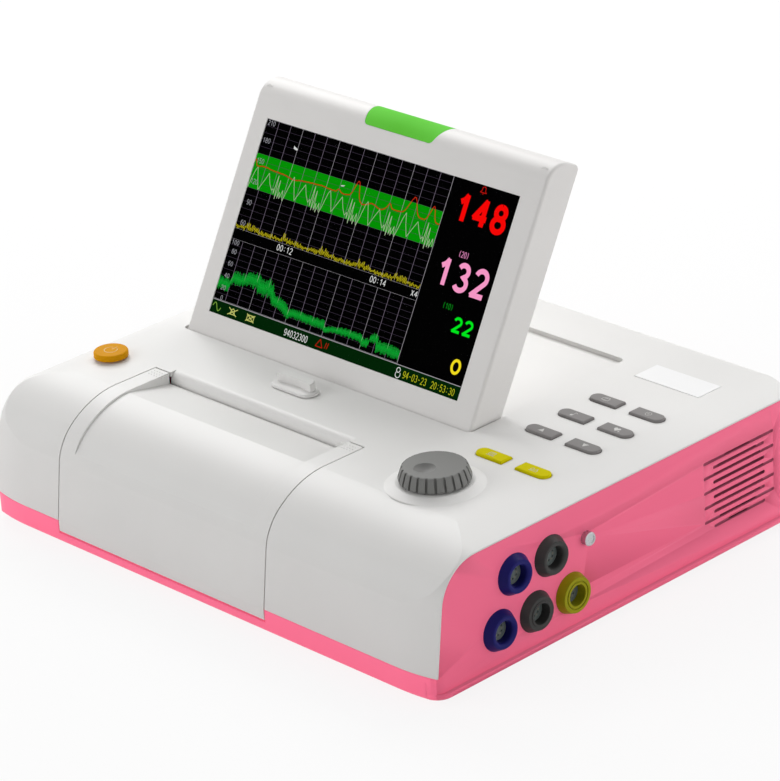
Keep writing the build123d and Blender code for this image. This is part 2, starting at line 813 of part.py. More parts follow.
# =============================================================== top housing
with BuildPart() as top_housing:
    add(outer_form)
    block((-side_x, -body_depth, 0), (side_x, body_depth, seam_z + shell_gap), mode=Mode.SUBTRACT)
    # Room for the side panels and the rear wall of the bottom housing.
    with BuildPart(mode=Mode.PRIVATE) as below:
        add(side_lips(shell_lip - shell_gap))
        block(
            (-side_x, rear_corner_y - shell_gap, 0), (side_x, body_depth, rear_seam_z + shell_gap),
        )
    add(below.part, mode=Mode.SUBTRACT)
    add(inner_form, mode=Mode.SUBTRACT)

    # Screen tray: a shallow recess with its own floor.
    tray_x = screen_width / 2 + screen_tray_gap
    block(
        (
            screen_center_x - tray_x - wall, screen_tray_front_y - wall,
            top_z - screen_tray_depth - screen_tray_floor,
        ),
        (screen_center_x + tray_x + wall, screen_tray_back_y + wall, under_z),
    )
    with BuildSketch(Plane.XY.offset(top_z)):
        with Locations((screen_center_x, (screen_tray_front_y + screen_tray_back_y) / 2)):
            RectangleRounded(2 * tray_x, screen_tray_back_y - screen_tray_front_y, screen_tray_round)
    extrude(amount=-screen_tray_depth, mode=Mode.SUBTRACT)

    # Conical collar under the knob.
    with Locations((knob_x, knob_y, top_z)):
        Cone(
            collar_foot_radius, collar_top_radius, collar_height,
            align=(Align.CENTER, Align.CENTER, Align.MIN),
        )

    # Tear lip behind the paper slot, rounded toward the slot.
    recess_left = door_center_x - recess_width / 2
    recess_right = door_center_x + recess_width / 2
    block(
        (recess_left, door_back_y, top_z - tear_lip_height),
        (recess_right, door_back_y + tear_lip_depth, under_z),
    )
    # Posts: corner screws, control board, print frame, power switch and badge.
    with BuildPart(mode=Mode.PRIVATE) as posts:
        for place in post_places:
            disc(place, post_radius, post_split_z + shell_gap, body_height)
        for x in (keyboard_x[0] + post_radius, keyboard_x[1] - post_radius):
            for y in (keyboard_y[0] + post_radius, keyboard_y[1] - post_radius):
                disc((x, y), post_radius - 1, keyboard_top_z, body_height)
        for x in (frame_left_x + 2 * post_radius, frame_right_x - 2 * post_radius):
            disc((x, frame_y + frame_reach - post_radius), post_radius - 1, frame_top_z, body_height)
        for y in (-1, 1):
            disc((power_x, power_y + y * (power_board / 2 - 2)), 2.0, power_board_z, body_height)
        add(draped_form(wall / 2), mode=Mode.INTERSECT)
    add(posts.part)
    for place in post_places:
        disc(
            place, screw_radius + pin_clearance, post_split_z,
            floor_z + screw_head_height + screw_length + 1 - post_split_z, mode=Mode.SUBTRACT,
        )

    # Openings: door, keys, button, knob, latch, hinge ears and badge seat.
    block(
        (door_left_x - door_gap, -body_depth, 0),
        (door_right_x + door_gap, door_back_y, 2 * top_z),
        mode=Mode.SUBTRACT,
    )
    with BuildSketch(Plane.YZ.offset(recess_left)) as rounding:
        with Locations((door_back_y + tear_lip_round / 2, top_z - tear_lip_round / 2)):
            Rectangle(tear_lip_round, tear_lip_round)
        with Locations((door_back_y + tear_lip_round, top_z - tear_lip_round)):
            Circle(tear_lip_round, mode=Mode.SUBTRACT)
    extrude(amount=recess_width, mode=Mode.SUBTRACT)
    for side, column_x in ((-1, key_left_x), (1, key_right_x)):
        for y in key_rows_y:
            with BuildSketch(Plane.XY.offset(under_z - wall)):
                with Locations((column_x, y)):
                    key_outline(side, button_gap)
            extrude(amount=3 * wall, mode=Mode.SUBTRACT)
    disc((power_x, power_y), power_stem_radius + button_gap, under_z - wall, 3 * wall, mode=Mode.SUBTRACT)
    disc((knob_x, knob_y), collar_bore_radius, under_z - wall, 4 * wall, mode=Mode.SUBTRACT)
    with BuildSketch(Plane.XY.offset(under_z - wall)):
        with Locations((latch_x, latch_y - latch_travel / 2)):
            Rectangle(latch_stem_width + 2 * latch_gap, latch_stem_length + latch_travel + 2 * latch_gap)
        with Locations(*[(x, hinge_y) for x in hinge_xs]):
            Rectangle(hinge_ear_width + 2 * latch_gap, 2 * hinge_ear_half + 2 * latch_gap)
    extrude(amount=3 * wall, mode=Mode.SUBTRACT)
    with BuildSketch(Plane.XY.offset(top_z)):
        with Locations((badge_x, badge_y)):
            Rectangle(badge_width + 2 * seat_gap, badge_length + 2 * seat_gap)
    extrude(amount=badge_proud - badge_thickness, mode=Mode.SUBTRACT)
finish(top_housing, "top_housing")

# ======================================================= feet and fastenings
with BuildPart() as rubber_feet:
    for place in foot_places:
        disc(place, foot_radius, 0, foot_height + foot_sink)
    chamfer(rubber_feet.edges().group_by(Axis.Z)[0], 0.6)
finish(rubber_feet, "rubber_feet")

with BuildPart() as housing_screws:
    for place in post_places:
        disc(place, screw_head_radius, floor_z, screw_head_height)
        disc(place, screw_radius, floor_z + screw_head_height, screw_length)
finish(housing_screws, "housing_screws")

# ================================================================ paper door
with BuildPart() as paper_door:
    # Shell with a cheek at each side.
    with BuildPart(mode=Mode.PRIVATE) as cheeks:
        add(outer_form)
        add(draped_form(door_cheek_depth), mode=Mode.SUBTRACT)
        block(
            (door_left_x + door_cheek, -body_depth, 0), (door_right_x - door_cheek, body_depth, 2 * top_z),
            mode=Mode.SUBTRACT,
        )
    add(outer_form)
    add(draped_form(door_wall), mode=Mode.SUBTRACT)
    add(cheeks.part)
    # Thicker part that holds the recess, then the recess itself.
    crest = brow_point(recess_crest_turn, recess_crest_depth)
    slot_floor = (door_back_y, top_z - recess_depth)
    under_crest = brow_point(recess_crest_turn, door_wall / 2)
    with BuildSketch(Plane.YZ.offset(recess_left - recess_floor)):
        with BuildLine():
            Polyline(
                (door_back_y, top_z - door_wall / 2),
                (door_back_y, slot_floor[1] - recess_floor),
                (crest[0], crest[1] - recess_floor),
                under_crest,
                close=True,
            )
        make_face()
    extrude(amount=recess_width + 2 * recess_floor)
    with BuildSketch(Plane.YZ.offset(recess_left)):
        with BuildLine():
            ramp = Line(slot_floor, crest)
            upper = ThreePointArc(
                crest,
                brow_point((recess_crest_turn + brow_turn) / 2, recess_crest_depth),
                brow_point(brow_turn, recess_crest_depth),
            )
            lower = ThreePointArc(
                upper @ 1,
                brow_point((brow_turn + recess_fade_turn) / 2 + 0.01, recess_crest_depth),
                brow_point(recess_fade_turn, recess_crest_depth),
            )
            fade = Line(lower @ 1, brow_point(recess_end_turn, 0))
            outer_low = brow_point(recess_end_turn, -2 * door_wall)
            Polyline(
                fade @ 1, outer_low, (outer_low[0], 2 * top_z), (door_back_y, 2 * top_z), slot_floor,
            )
        make_face()
    extrude(amount=recess_width, mode=Mode.SUBTRACT)
    # Trim to the opening.
    block(
        (door_left_x, -body_depth, door_bottom_z),
        (door_right_x, door_back_y - slot_gap, 2 * top_z),
        mode=Mode.INTERSECT,
    )
    foot_edge = paper_door.edges().filter_by(Axis.X).group_by(Axis.Z)[0].sort_by(Axis.Y)[0]
    fillet(foot_edge, door_edge_round)
    # Hinge pins.
    for side in (-1, 1):
        disc(
            (door_pin_y, door_pin_z), door_pin_radius,
            door_center_x + side * (door_width / 2 - door_cheek), side * (door_pin_length + door_cheek),
            plane=Plane.YZ,
        )
    # Arms that carry the platen roller.
    for side in (-1, 1):
        arm_x = door_center_x + side * (paper_width / 2 + roller_end_gap + roller_arm / 2)
        with BuildSketch(Plane.YZ.offset(arm_x - roller_arm / 2)):
            with Locations((roller_y, roller_z)):
                Circle(roller_radius - 1)
            with Locations((roller_y, (roller_z + slot_floor[1]) / 2)):
                Rectangle(2 * roller_radius - 2, slot_floor[1] - roller_z)
            with Locations((roller_y, roller_z)):
                Circle(roller_shaft_radius + pin_clearance, mode=Mode.SUBTRACT)
        extrude(amount=roller_arm)
finish(paper_door, "paper_door")

with BuildPart() as platen_roller:
    shaft_length = paper_width + 2 * roller_end_gap + 2 * roller_arm
    disc(
        (roller_y, roller_z), roller_radius, door_center_x - paper_width / 2, paper_width,
        plane=Plane.YZ,
    )
    disc(
        (roller_y, roller_z), roller_shaft_radius, door_center_x - shaft_length / 2, shaft_length,
        plane=Plane.YZ,
    )
finish(platen_roller, "platen_roller")

# ============================================================ paper recorder
with BuildPart() as paper_tray:
    tray_half = door_width / 2 + tray_side_gap
    with BuildPart(mode=Mode.PRIVATE) as hollow:
        block(
            (door_center_x - tray_half, tray_front_y + tray_wall, floor_z + tray_gap + tray_wall),
            (door_center_x + tray_half, tray_back_y - tray_wall, 2 * top_z),
        )
    block(
        (door_center_x - tray_half - tray_wall, tray_front_y, floor_z + tray_gap),
        (door_center_x + tray_half + tray_wall, tray_back_y, 2 * top_z),
    )
    add(hollow.part, mode=Mode.SUBTRACT)
    block(
        (door_center_x - tray_half, -body_depth, tray_bar_height),
        (door_center_x + tray_half, tray_front_y + 2 * tray_wall, 2 * top_z),
        mode=Mode.SUBTRACT,
    )
    block(
        (-side_x, roller_y, tray_rear_height), (side_x, body_depth, 2 * top_z), mode=Mode.SUBTRACT,
    )
    add(draped_form(wall + tray_form_gap), mode=Mode.INTERSECT)
    for side in (-1, 1):
        guide = door_center_x + side * (paper_width / 2 + guide_gap + tray_wall / 2)
        block(
            (guide - tray_wall / 2, tray_front_y, floor_z + tray_gap),
            (guide + tray_wall / 2, tray_back_y, tray_bar_height),
        )
finish(paper_tray, "paper_tray")

with BuildPart() as paper_stack:
    fold_height = paper_height / paper_folds
    for i in range(paper_folds):
        z = floor_z + tray_gap + tray_wall + i * fold_height
        inset = fold_stagger * (i % 2)
        block(
            (door_center_x - paper_width / 2, paper_front_y + inset, z),
            (door_center_x + paper_width / 2, paper_front_y + paper_length - fold_stagger + inset, z + fold_height),
        )
finish(paper_stack, "paper_stack")

with BuildPart() as print_head:
    head_front_y = roller_y + roller_radius + head_gap
    block(
        (door_center_x - paper_width / 2, head_front_y, roller_z - head_height / 2),
        (door_center_x + paper_width / 2, frame_y, roller_z + head_height / 2 - 0.6),
    )
    chamfer(print_head.edges().filter_by(Axis.X).group_by(Axis.Y)[0], 1.2)
finish(print_head, "print_head")

with BuildPart() as printer_frame:
    block(
        (frame_left_x, frame_y, frame_foot_z), (frame_right_x, frame_y + frame_sheet, frame_top_z),
    )
    block(
        (frame_left_x, frame_y, frame_top_z - frame_sheet),
        (frame_right_x, frame_y + frame_reach, frame_top_z),
    )
    block(
        (frame_right_x - frame_sheet, frame_y, motor_z - 2 * motor_radius),
        (frame_right_x, frame_y + frame_reach, frame_top_z),
    )
finish(printer_frame, "printer_frame")

with BuildPart() as stepper_motor:
    disc((motor_y, motor_z), motor_radius, frame_right_x, motor_length, plane=Plane.YZ)
finish(stepper_motor, "stepper_motor")

# ==================================================================== screen
with BuildPart() as screen_housing:
    add(screen_form(0, screen_width))
    side_edges = screen_housing.edges().filter_by(
        lambda e: abs((e % 0.5).dot(screen_plane.y_dir)) > 0.999 and abs(screen_plane.to_local_coords(e @ 0).Z) < 0.01
    )
    fillet(side_edges, screen_edge_round)
    # Hollow, open at the back, with a solid bar round the hinge.
    with BuildPart(mode=Mode.PRIVATE) as cavity:
        add(screen_form(screen_wall, screen_width - 2 * screen_wall))
        with BuildSketch(screen_plane.offset(-screen_depth / 2)):
            with Locations((0, (cover_foot + cover_top) / 2)):
                Rectangle(screen_width - 2 * screen_wall, cover_top - cover_foot)
        extrude(amount=-screen_depth)
        with BuildSketch(screen_plane.offset(hinge_bar_depth - screen_depth)):
            with Locations((0, cover_foot - screen_depth)):
                Rectangle(2 * screen_width, 2 * screen_depth)
        extrude(amount=-screen_depth, mode=Mode.SUBTRACT)
    add(cavity.part, mode=Mode.SUBTRACT)
    # Posts for the back cover.
    with BuildSketch(screen_plane.offset(-screen_wall / 2)):
        with Locations(*screen_posts):
            Circle(screen_post_radius)
    extrude(amount=cover_thickness + seat_gap + screen_wall / 2 - screen_depth)
    with BuildSketch(screen_plane.offset(-screen_wall)):
        with Locations(*screen_posts):
            Circle(screen_screw_radius + pin_clearance)
    extrude(amount=-screen_depth, mode=Mode.SUBTRACT)
    # Window with a rebate behind it for the glass.
    with BuildSketch(screen_plane.offset(screen_wall)):
        with Locations(window_center):
            Rectangle(window_width, window_length)
    extrude(amount=-3 * screen_wall, mode=Mode.SUBTRACT)
    with BuildSketch(screen_plane.offset(-window_rim)):
        with Locations(window_center):
            Rectangle(
                window_width + 2 * glass_margin + 2 * seat_gap,
                window_length + 2 * glass_margin + 2 * seat_gap,
            )
    extrude(amount=-screen_wall, mode=Mode.SUBTRACT)
    # Opening for the alarm light.
    with BuildSketch(screen_plane.offset(screen_wall)):
        light_outline(seat_gap)
    extrude(amount=-screen_wall - light_depth - seat_gap, mode=Mode.SUBTRACT)
    # Hinge notches and pin holes.
    for x in hinge_xs:
        disc(
            (hinge_y, hinge_z), hinge_notch_radius, x - hinge_notch_width / 2, hinge_notch_width,
            plane=Plane.YZ, mode=Mode.SUBTRACT,
        )
        disc(
            (hinge_y, hinge_z), hinge_pin_radius + hinge_clearance,
            x - hinge_pin_length / 2 - latch_gap, hinge_pin_length + 2 * latch_gap,
            plane=Plane.YZ, mode=Mode.SUBTRACT,
        )
finish(screen_housing, "screen_housing")

with BuildPart() as screen_back_cover:
    with BuildSketch(screen_plane.offset(-screen_depth)):
        with Locations((0, (cover_foot + cover_top) / 2)):
            Rectangle(
                screen_width - 2 * screen_wall - 2 * seat_gap, cover_top - cover_foot - 2 * seat_gap
            )
    extrude(amount=cover_thickness)
    with BuildSketch(screen_plane.offset(-screen_depth - 1)):
        with Locations(*screen_posts):
            Circle(screen_screw_radius + 2 * pin_clearance)
    extrude(amount=screen_depth, mode=Mode.SUBTRACT)
    with BuildSketch(screen_plane.offset(screen_screw_head - screen_depth)):
        with Locations(*screen_posts):
            Circle(2 * screen_screw_radius + 2 * pin_clearance)
    extrude(amount=-screen_depth, mode=Mode.SUBTRACT)
finish(screen_back_cover, "screen_back_cover")

with BuildPart() as screen_screws:
    with BuildSketch(screen_plane.offset(-screen_depth)):
        with Locations(*screen_posts):
            Circle(screen_screw_radius)
    extrude(amount=screen_screw_length)
    with BuildSketch(screen_plane.offset(-screen_depth)):
        with Locations(*screen_posts):
            Circle(2 * screen_screw_radius)
    extrude(amount=screen_screw_head)
finish(screen_screws, "screen_screws")

with BuildPart() as screen_glass:
    with BuildSketch(screen_plane.offset(-window_rim - seat_gap)):
        with Locations(window_center):
            Rectangle(window_width + 2 * glass_margin, window_length + 2 * glass_margin)
    extrude(amount=-glass_thickness)
finish(screen_glass, "screen_glass")

with BuildPart() as lcd_panel:
    with BuildSketch(screen_plane.offset(-lcd_front)):
        with Locations(window_center):
            Rectangle(window_width + 2 * lcd_margin, window_length + 2 * lcd_margin)
    extrude(amount=-lcd_thickness)
finish(lcd_panel, "lcd_panel")

with BuildPart() as screen_board:
    with BuildSketch(screen_plane.offset(-lcd_front - lcd_thickness)):
        with Locations(window_center):
            Rectangle(window_width - 2 * screen_board_margin, window_length - 2 * screen_board_margin)
    extrude(amount=-board_thickness)
    with BuildSketch(screen_plane.offset(-lcd_front - lcd_thickness - board_thickness / 2)):
        with Locations(window_center):
            with GridLocations(*screen_chip_pitch, 3, 2):
                Rectangle(*screen_chip_size)
    extrude(amount=-board_thickness / 2 - screen_chip_height)
finish(screen_board, "screen_board")

with BuildPart() as alarm_light:
    add(screen_form(0, screen_width))
    add(screen_form(light_wall, screen_width + 2), mode=Mode.SUBTRACT)
    with BuildPart(mode=Mode.PRIVATE) as light_prism:
        with BuildSketch(screen_plane.offset(screen_wall)):
            light_outline(0)
        extrude(amount=-screen_wall - light_depth)
    add(light_prism.part, mode=Mode.INTERSECT)
finish(alarm_light, "alarm_light")

with BuildPart() as hinge_mounts:
    for x in hinge_xs:
        with BuildSketch(Plane.XY.offset(hinge_plate_z)):
            with Locations((x, hinge_y)):
                Rectangle(hinge_plate_width, hinge_plate_depth)
        extrude(amount=-hinge_plate)
        with BuildSketch(Plane.YZ.offset(x - hinge_ear_width / 2)):
            with Locations((hinge_y, (hinge_plate_z + hinge_z) / 2)):
                Rectangle(2 * hinge_ear_half, hinge_z - hinge_plate_z + hinge_plate)
            with Locations((hinge_y, hinge_z)):
                Circle(hinge_ear_radius)
                Circle(hinge_pin_radius, mode=Mode.SUBTRACT)
        extrude(amount=hinge_ear_width)
finish(hinge_mounts, "hinge_mounts")

with BuildPart() as hinge_pins:
    for x in hinge_xs:
        disc(
            (hinge_y, hinge_z), hinge_pin_radius, x - hinge_pin_length / 2, hinge_pin_length,
            plane=Plane.YZ,
        )
finish(hinge_pins, "hinge_pins")

# ====================================================== knob, button and keys
with BuildPart() as encoder_body:
    with BuildSketch(Plane.XY.offset(keyboard_top_z)):
        with Locations((knob_x, knob_y)):
            Rectangle(encoder_size, encoder_size)
    extrude(amount=encoder_height)
    disc((knob_x, knob_y), bushing_radius, keyboard_top_z + encoder_height, bushing_height)
    disc(
        (knob_x, knob_y), shaft_radius + spindle_clearance, keyboard_top_z + encoder_floor,
        encoder_height + bushing_height, mode=Mode.SUBTRACT,
    )
finish(encoder_body, "encoder_body")

with BuildPart() as encoder_spindle:
    disc((knob_x, knob_y), shaft_radius, spindle_foot_z, knob_top_z - knob_wall - spindle_foot_z - seat_gap)
finish(encoder_spindle, "encoder_spindle")

with BuildPart() as control_knob:
    disc((knob_x, knob_y), knob_radius, knob_foot_z, knob_height)
    fillet(control_knob.edges().group_by(Axis.Z)[-1], knob_radius - knob_top_radius)
    disc((knob_x, knob_y), knob_cavity_radius, knob_foot_z, knob_height - knob_wall, mode=Mode.SUBTRACT)
    disc(
        (knob_x, knob_y), knob_hub_radius, knob_foot_z + knob_push_gap,
        knob_height - knob_wall - knob_push_gap,
    )
    disc(
        (knob_x, knob_y), shaft_radius + spindle_clearance, knob_foot_z,
        knob_height - knob_wall, mode=Mode.SUBTRACT,
    )
    with BuildSketch(Plane.XY.offset(knob_foot_z)):
        with Locations((knob_x, knob_y)):
            with PolarLocations(knob_radius, knob_groove_count):
                Rectangle(2 * knob_groove_depth, knob_groove_width)
    extrude(amount=knob_height - knob_radius + knob_top_radius + 1, mode=Mode.SUBTRACT)
    # Finger dimple: the low cap of a large ball.
    ball = (dimple_radius**2 + dimple_depth**2) / (2 * dimple_depth)
    with Locations((knob_x + dimple_at[0], knob_y + dimple_at[1], knob_top_z + ball - dimple_depth)):
        Sphere(ball, mode=Mode.SUBTRACT)
finish(control_knob, "control_knob")

with BuildPart() as power_button:
    power_foot_z = top_z + power_gap
    disc((power_x, power_y), power_radius, power_foot_z, power_height)
    fillet(power_button.edges().group_by(Axis.Z)[-1], 1.0)
    disc((power_x, power_y), power_stem_radius, power_flange_z - flange_height, power_foot_z - power_flange_z + 2)
    disc((power_x, power_y), power_stem_radius + flange_margin, power_flange_z - flange_height, flange_height)
    disc((power_x, power_y), power_stem_radius / 2, power_stem_foot_z, power_stem_foot)
finish(power_button, "power_button")

with BuildPart() as power_switch:
    with BuildSketch(Plane.XY.offset(power_board_z)):
        with Locations((power_x, power_y)):
            Rectangle(power_board, power_board)
    extrude(amount=-board_thickness)
    with BuildSketch(Plane.XY.offset(power_board_z)):
        with Locations((power_x, power_y)):
            Rectangle(power_board / 2.4, power_board / 2.4)
    extrude(amount=power_stem_foot_z - dome_gap - 1 - power_board_z)
    disc((power_x, power_y), 2.0, power_board_z, power_stem_foot_z - dome_gap - power_board_z)
finish(power_switch, "power_switch")

key_number = 0
for side, column_x in ((-1, key_left_x), (1, key_right_x)):
    for row_y in key_rows_y:
        key_number += 1
        with BuildPart() as key:
            with BuildSketch(Plane.XY.offset(key_flange_z)):
                with Locations((column_x, row_y)):
                    key_outline(side, 0)
            extrude(amount=top_z + key_proud - key_flange_z)
            fillet(key.edges().group_by(Axis.Z)[-1], key_round)
            with BuildSketch(Plane.XY.offset(key_flange_z - flange_height)):
                with Locations((column_x, row_y)):
                    key_outline(side, flange_margin)
            extrude(amount=flange_height)
            disc(
                (column_x, row_y), key_stem_radius, key_stem_foot_z,
                key_flange_z - flange_height - key_stem_foot_z,
            )
        finish(key, f"key_{key_number}")

with BuildPart() as dome_mat:
    mat_z = keyboard_top_z
    block(
        (keyboard_x[0] + 1, min(key_rows_y) - mat_margin, mat_z),
        (keyboard_x[1] - 1, keyboard_y[1] - 2 * post_radius, mat_z + mat_thickness),
    )
    for column_x in (key_left_x, key_right_x):
        for row_y in key_rows_y:
            with Locations((column_x, row_y, mat_z + mat_thickness)):
                Cone(dome_radius, key_stem_radius, dome_height, align=(Align.CENTER, Align.CENTER, Align.MIN))
finish(dome_mat, "dome_mat")

with BuildPart() as control_board:
    block(
        (keyboard_x[0], keyboard_y[0], keyboard_top_z - keyboard_thickness),
        (keyboard_x[1], keyboard_y[1], keyboard_top_z),
    )
finish(control_board, "control_board")

with BuildPart() as screen_latch:
    with BuildSketch(Plane.XY.offset(top_z + latch_gap)):
        with Locations((latch_x, latch_y)):
            SlotOverall(latch_width, latch_length)
    extrude(amount=latch_plate)
    chamfer(screen_latch.edges().group_by(Axis.Z)[-1], 0.5)
    # Upright rib with a hollowed front face.
    rib_z = top_z + latch_gap + latch_plate / 2
    with BuildPart(mode=Mode.PRIVATE) as rib:
        with BuildSketch(Plane.XY.offset(rib_z)):
            with Locations((latch_x, latch_y)):
                SlotOverall(latch_width - 2 * latch_rib_inset, latch_length - 1.2)
            with Locations((latch_x, latch_y - latch_length + latch_rib_length / 2)):
                Rectangle(2 * latch_width, latch_length + latch_rib_length, mode=Mode.SUBTRACT)
            rib_front_y = latch_y + latch_rib_length - latch_length / 2
            hollow_y = rib_front_y + latch_hollow_depth - latch_hollow_radius
            with Locations((latch_x, hollow_y)):
                Circle(latch_hollow_radius, mode=Mode.SUBTRACT)
        extrude(amount=latch_rib_height)
        fillet(rib.edges().group_by(Axis.Z)[-1].sort_by(Axis.Y)[-1], latch_rib_inset / 4)
    add(rib.part)
    block(
        (latch_x - latch_stem_width / 2, latch_y - latch_stem_length / 2, latch_hook_z),
        (latch_x + latch_stem_width / 2, latch_y + latch_stem_length / 2, rib_z),
    )
    block(
        (latch_x - latch_stem_width / 2 - 2, latch_y - latch_stem_length / 2 - 1, latch_hook_z - flange_height),
        (latch_x + latch_stem_width / 2 + 2, latch_y + latch_stem_length / 2 + 1, latch_hook_z),
    )
finish(screen_latch, "screen_latch")

with BuildPart() as badge_plate:
    with BuildSketch(Plane.XY.offset(top_z + badge_proud)):
        with Locations((badge_x, badge_y)):
            Rectangle(badge_width, badge_length)
    extrude(amount=-badge_thickness)
    chamfer(badge_plate.edges().group_by(Axis.Z)[-1], 0.25)
finish(badge_plate, "badge_plate")

# =================================================================== sockets
for name, (y, z) in socket_places.items():
    front_x = panel_x + socket_reach
    front_radius = flat_front_radius if name == "marker_socket" else socket_front_radius
    with BuildPart() as socket:
        with BuildSketch(Plane.YZ.offset(panel_x)):
            with Locations((y, z)):
                Circle(socket_foot_radius)
        with BuildSketch(Plane.YZ.offset(front_x)):
            with Locations((y, z)):
                Circle(front_radius)
        loft()
        disc((y, z), socket_barrel_radius, panel_x, -socket_barrel_length, plane=Plane.YZ)
        disc(
            (y, z), socket_bore_radius, panel_x + 2 * socket_reach, -2 * body_height,
            plane=Plane.YZ, mode=Mode.SUBTRACT,
        )
        mouth, rim = socket.edges().group_by(Axis.X)[-1].sort_by(SortBy.RADIUS)
        if name == "marker_socket":
            # Flat face with a fine groove round the mouth.
            with BuildSketch(Plane.YZ.offset(front_x)):
                with Locations((y, z)):
                    Circle(groove_radius + groove_width / 2)
                    Circle(groove_radius - groove_width / 2, mode=Mode.SUBTRACT)
            extrude(amount=-groove_depth, mode=Mode.SUBTRACT)
        elif name == "stimulator_socket":
            # Narrow lip round the mouth, with a lower shoulder outside it.
            with BuildSketch(Plane.YZ.offset(front_x)):
                with Locations((y, z)):
                    Circle(2 * front_radius)
                    Circle(socket_bore_radius + lip_width, mode=Mode.SUBTRACT)
            extrude(amount=-lip_depth, mode=Mode.SUBTRACT)
        else:
            # Mouth that curves into the bore.
            fillet(mouth, socket_mouth_round)
            rim = socket.edges().group_by(Axis.X)[-1].sort_by(SortBy.RADIUS)[-1]
            fillet(rim, socket_rim_round)
    finish(socket, name)

with BuildPart() as socket_nuts:
    for place in socket_places.values():
        with BuildSketch(Plane.YZ.offset(inner_x)):
            with Locations(place):
                RegularPolygon(socket_nut_radius, 6, major_radius=False)
                Circle(socket_barrel_radius + pin_clearance, mode=Mode.SUBTRACT)
        extrude(amount=-socket_nut)
finish(socket_nuts, "socket_nuts")

with BuildPart() as socket_board:
    block(
        (socket_board_x - board_thickness, socket_low_y - 12, socket_low_z - 10),
        (socket_board_x, socket_low_y + 2 * socket_pitch + 12, socket_high_z + 9.5),
    )
    for place in socket_places.values():
        disc(place, insert_radius, socket_board_x, insert_face_x - socket_board_x, plane=Plane.YZ)
        with BuildSketch(Plane.YZ.offset(insert_face_x)):
            with Locations(place):
                with PolarLocations(insert_pin_ring, insert_pin_count):
                    Circle(insert_pin_radius)
        extrude(amount=insert_pin_length)
finish(socket_board, "socket_board")

with BuildPart() as earth_stud:
    disc(stud_place, stud_radius, panel_x, stud_reach, plane=Plane.YZ)
    chamfer(earth_stud.edges().group_by(Axis.X)[-1], 0.5)
    disc(
        stud_place, stud_radius - 0.5 - stud_rim, panel_x + stud_reach - stud_dish, stud_dish,
        plane=Plane.YZ, mode=Mode.SUBTRACT,
    )
    disc(stud_place, 0.6 * stud_radius, panel_x, -4 * wall, plane=Plane.YZ)
    with BuildSketch(Plane.YZ.offset(inner_x)):
        with Locations(stud_place):
            RegularPolygon(stud_radius, 6, major_radius=False)
    extrude(amount=-wall)
finish(earth_stud, "earth_stud")

# =================================================================== speaker
with BuildPart() as speaker:
    speaker_face_x = inner_x
    disc((speaker_y, speaker_z), speaker_radius, speaker_face_x, -speaker_rim, plane=Plane.YZ)
    with BuildSketch(Plane.YZ.offset(speaker_face_x - speaker_rim)):
        with Locations((speaker_y, speaker_z)):
            Circle(speaker_radius - 1)
    with BuildSketch(Plane.YZ.offset(speaker_face_x - speaker_rim - speaker_cone_depth)):
        with Locations((speaker_y, speaker_z)):
            Circle(speaker_magnet_radius)
    loft()
    disc(
        (speaker_y, speaker_z), speaker_magnet_radius,
        speaker_face_x - speaker_rim - speaker_cone_depth, -speaker_magnet_length, plane=Plane.YZ,
    )
    with BuildPart(mode=Mode.PRIVATE) as bowl:
        with BuildSketch(Plane.YZ.offset(speaker_face_x)):
            with Locations((speaker_y, speaker_z)):
                Circle(speaker_hole_radius)
        with BuildSketch(Plane.YZ.offset(speaker_face_x - speaker_cone_depth)):
            with Locations((speaker_y, speaker_z)):
                Circle(speaker_magnet_radius * 0.6)
        loft()
    add(bowl.part, mode=Mode.SUBTRACT)
finish(speaker, "speaker")

# ============================================================ hidden modules
with BuildPart() as main_board:
    board_z = floor_z + standoff_height
    block((board_x[0], board_y[0], board_z), (board_x[1], board_y[1], board_z + board_thickness))
    for edge_gap, y, w, d, h in board_chips:
        x = board_x[1] - edge_gap
        block(
            (x - w / 2, y - d / 2, board_z + board_thickness),
            (x + w / 2, y + d / 2, board_z + board_thickness + h),
        )
finish(main_board, "main_board")

with BuildPart() as power_supply:
    supply_back_y = rear_y - supply_rear_gap
    block(
        (supply_side_gap - inner_x, supply_back_y - supply_depth, floor_z),
        (supply_right_x, supply_back_y, floor_z + supply_height),
    )
    chamfer(power_supply.edges().filter_by(Axis.Z), 1.0)
finish(power_supply, "power_supply")

with BuildPart() as battery_pack:
    battery_back_y = rear_y - battery_rear_gap
    block(
        (battery_left_x, battery_back_y - battery_depth, floor_z),
        (battery_left_x + battery_width, battery_back_y, floor_z + battery_height),
    )
    fillet(battery_pack.edges().filter_by(Axis.Z), 3.0)
finish(battery_pack, "battery_pack")

with BuildPart() as mains_inlet:
    with BuildSketch(Plane.XZ.offset(-rear_y)):
        with Locations((inlet_x, inlet_z)):
            RectangleRounded(inlet_width + 2 * inlet_flange, inlet_height + 2 * inlet_flange, 2.0)
    extrude(amount=-inlet_flange)
    with BuildSketch(Plane.XZ.offset(-rear_y)):
        with Locations((inlet_x, inlet_z)):
            Rectangle(inlet_width, inlet_height)
    extrude(amount=inlet_depth)
    with BuildSketch(Plane.XZ.offset(-rear_y - inlet_flange)):
        with Locations((inlet_x, inlet_z)):
            RectangleRounded(inlet_width - 2 * inlet_wall, inlet_height - 2 * inlet_wall, 2.5)
    extrude(amount=inlet_depth + inlet_flange - inlet_back, mode=Mode.SUBTRACT)
    with BuildSketch(Plane.XZ.offset(-rear_y + inlet_depth - inlet_back)):
        with Locations(
            (inlet_x - inlet_pin_spread, inlet_z + inlet_pin_rise),
            (inlet_x + inlet_pin_spread, inlet_z + inlet_pin_rise),
            (inlet_x, inlet_z - inlet_earth_drop),
        ):
            Rectangle(inlet_pin_width, inlet_pin_height)
    extrude(amount=2 * inlet_back - inlet_depth)
finish(mains_inlet, "mains_inlet")

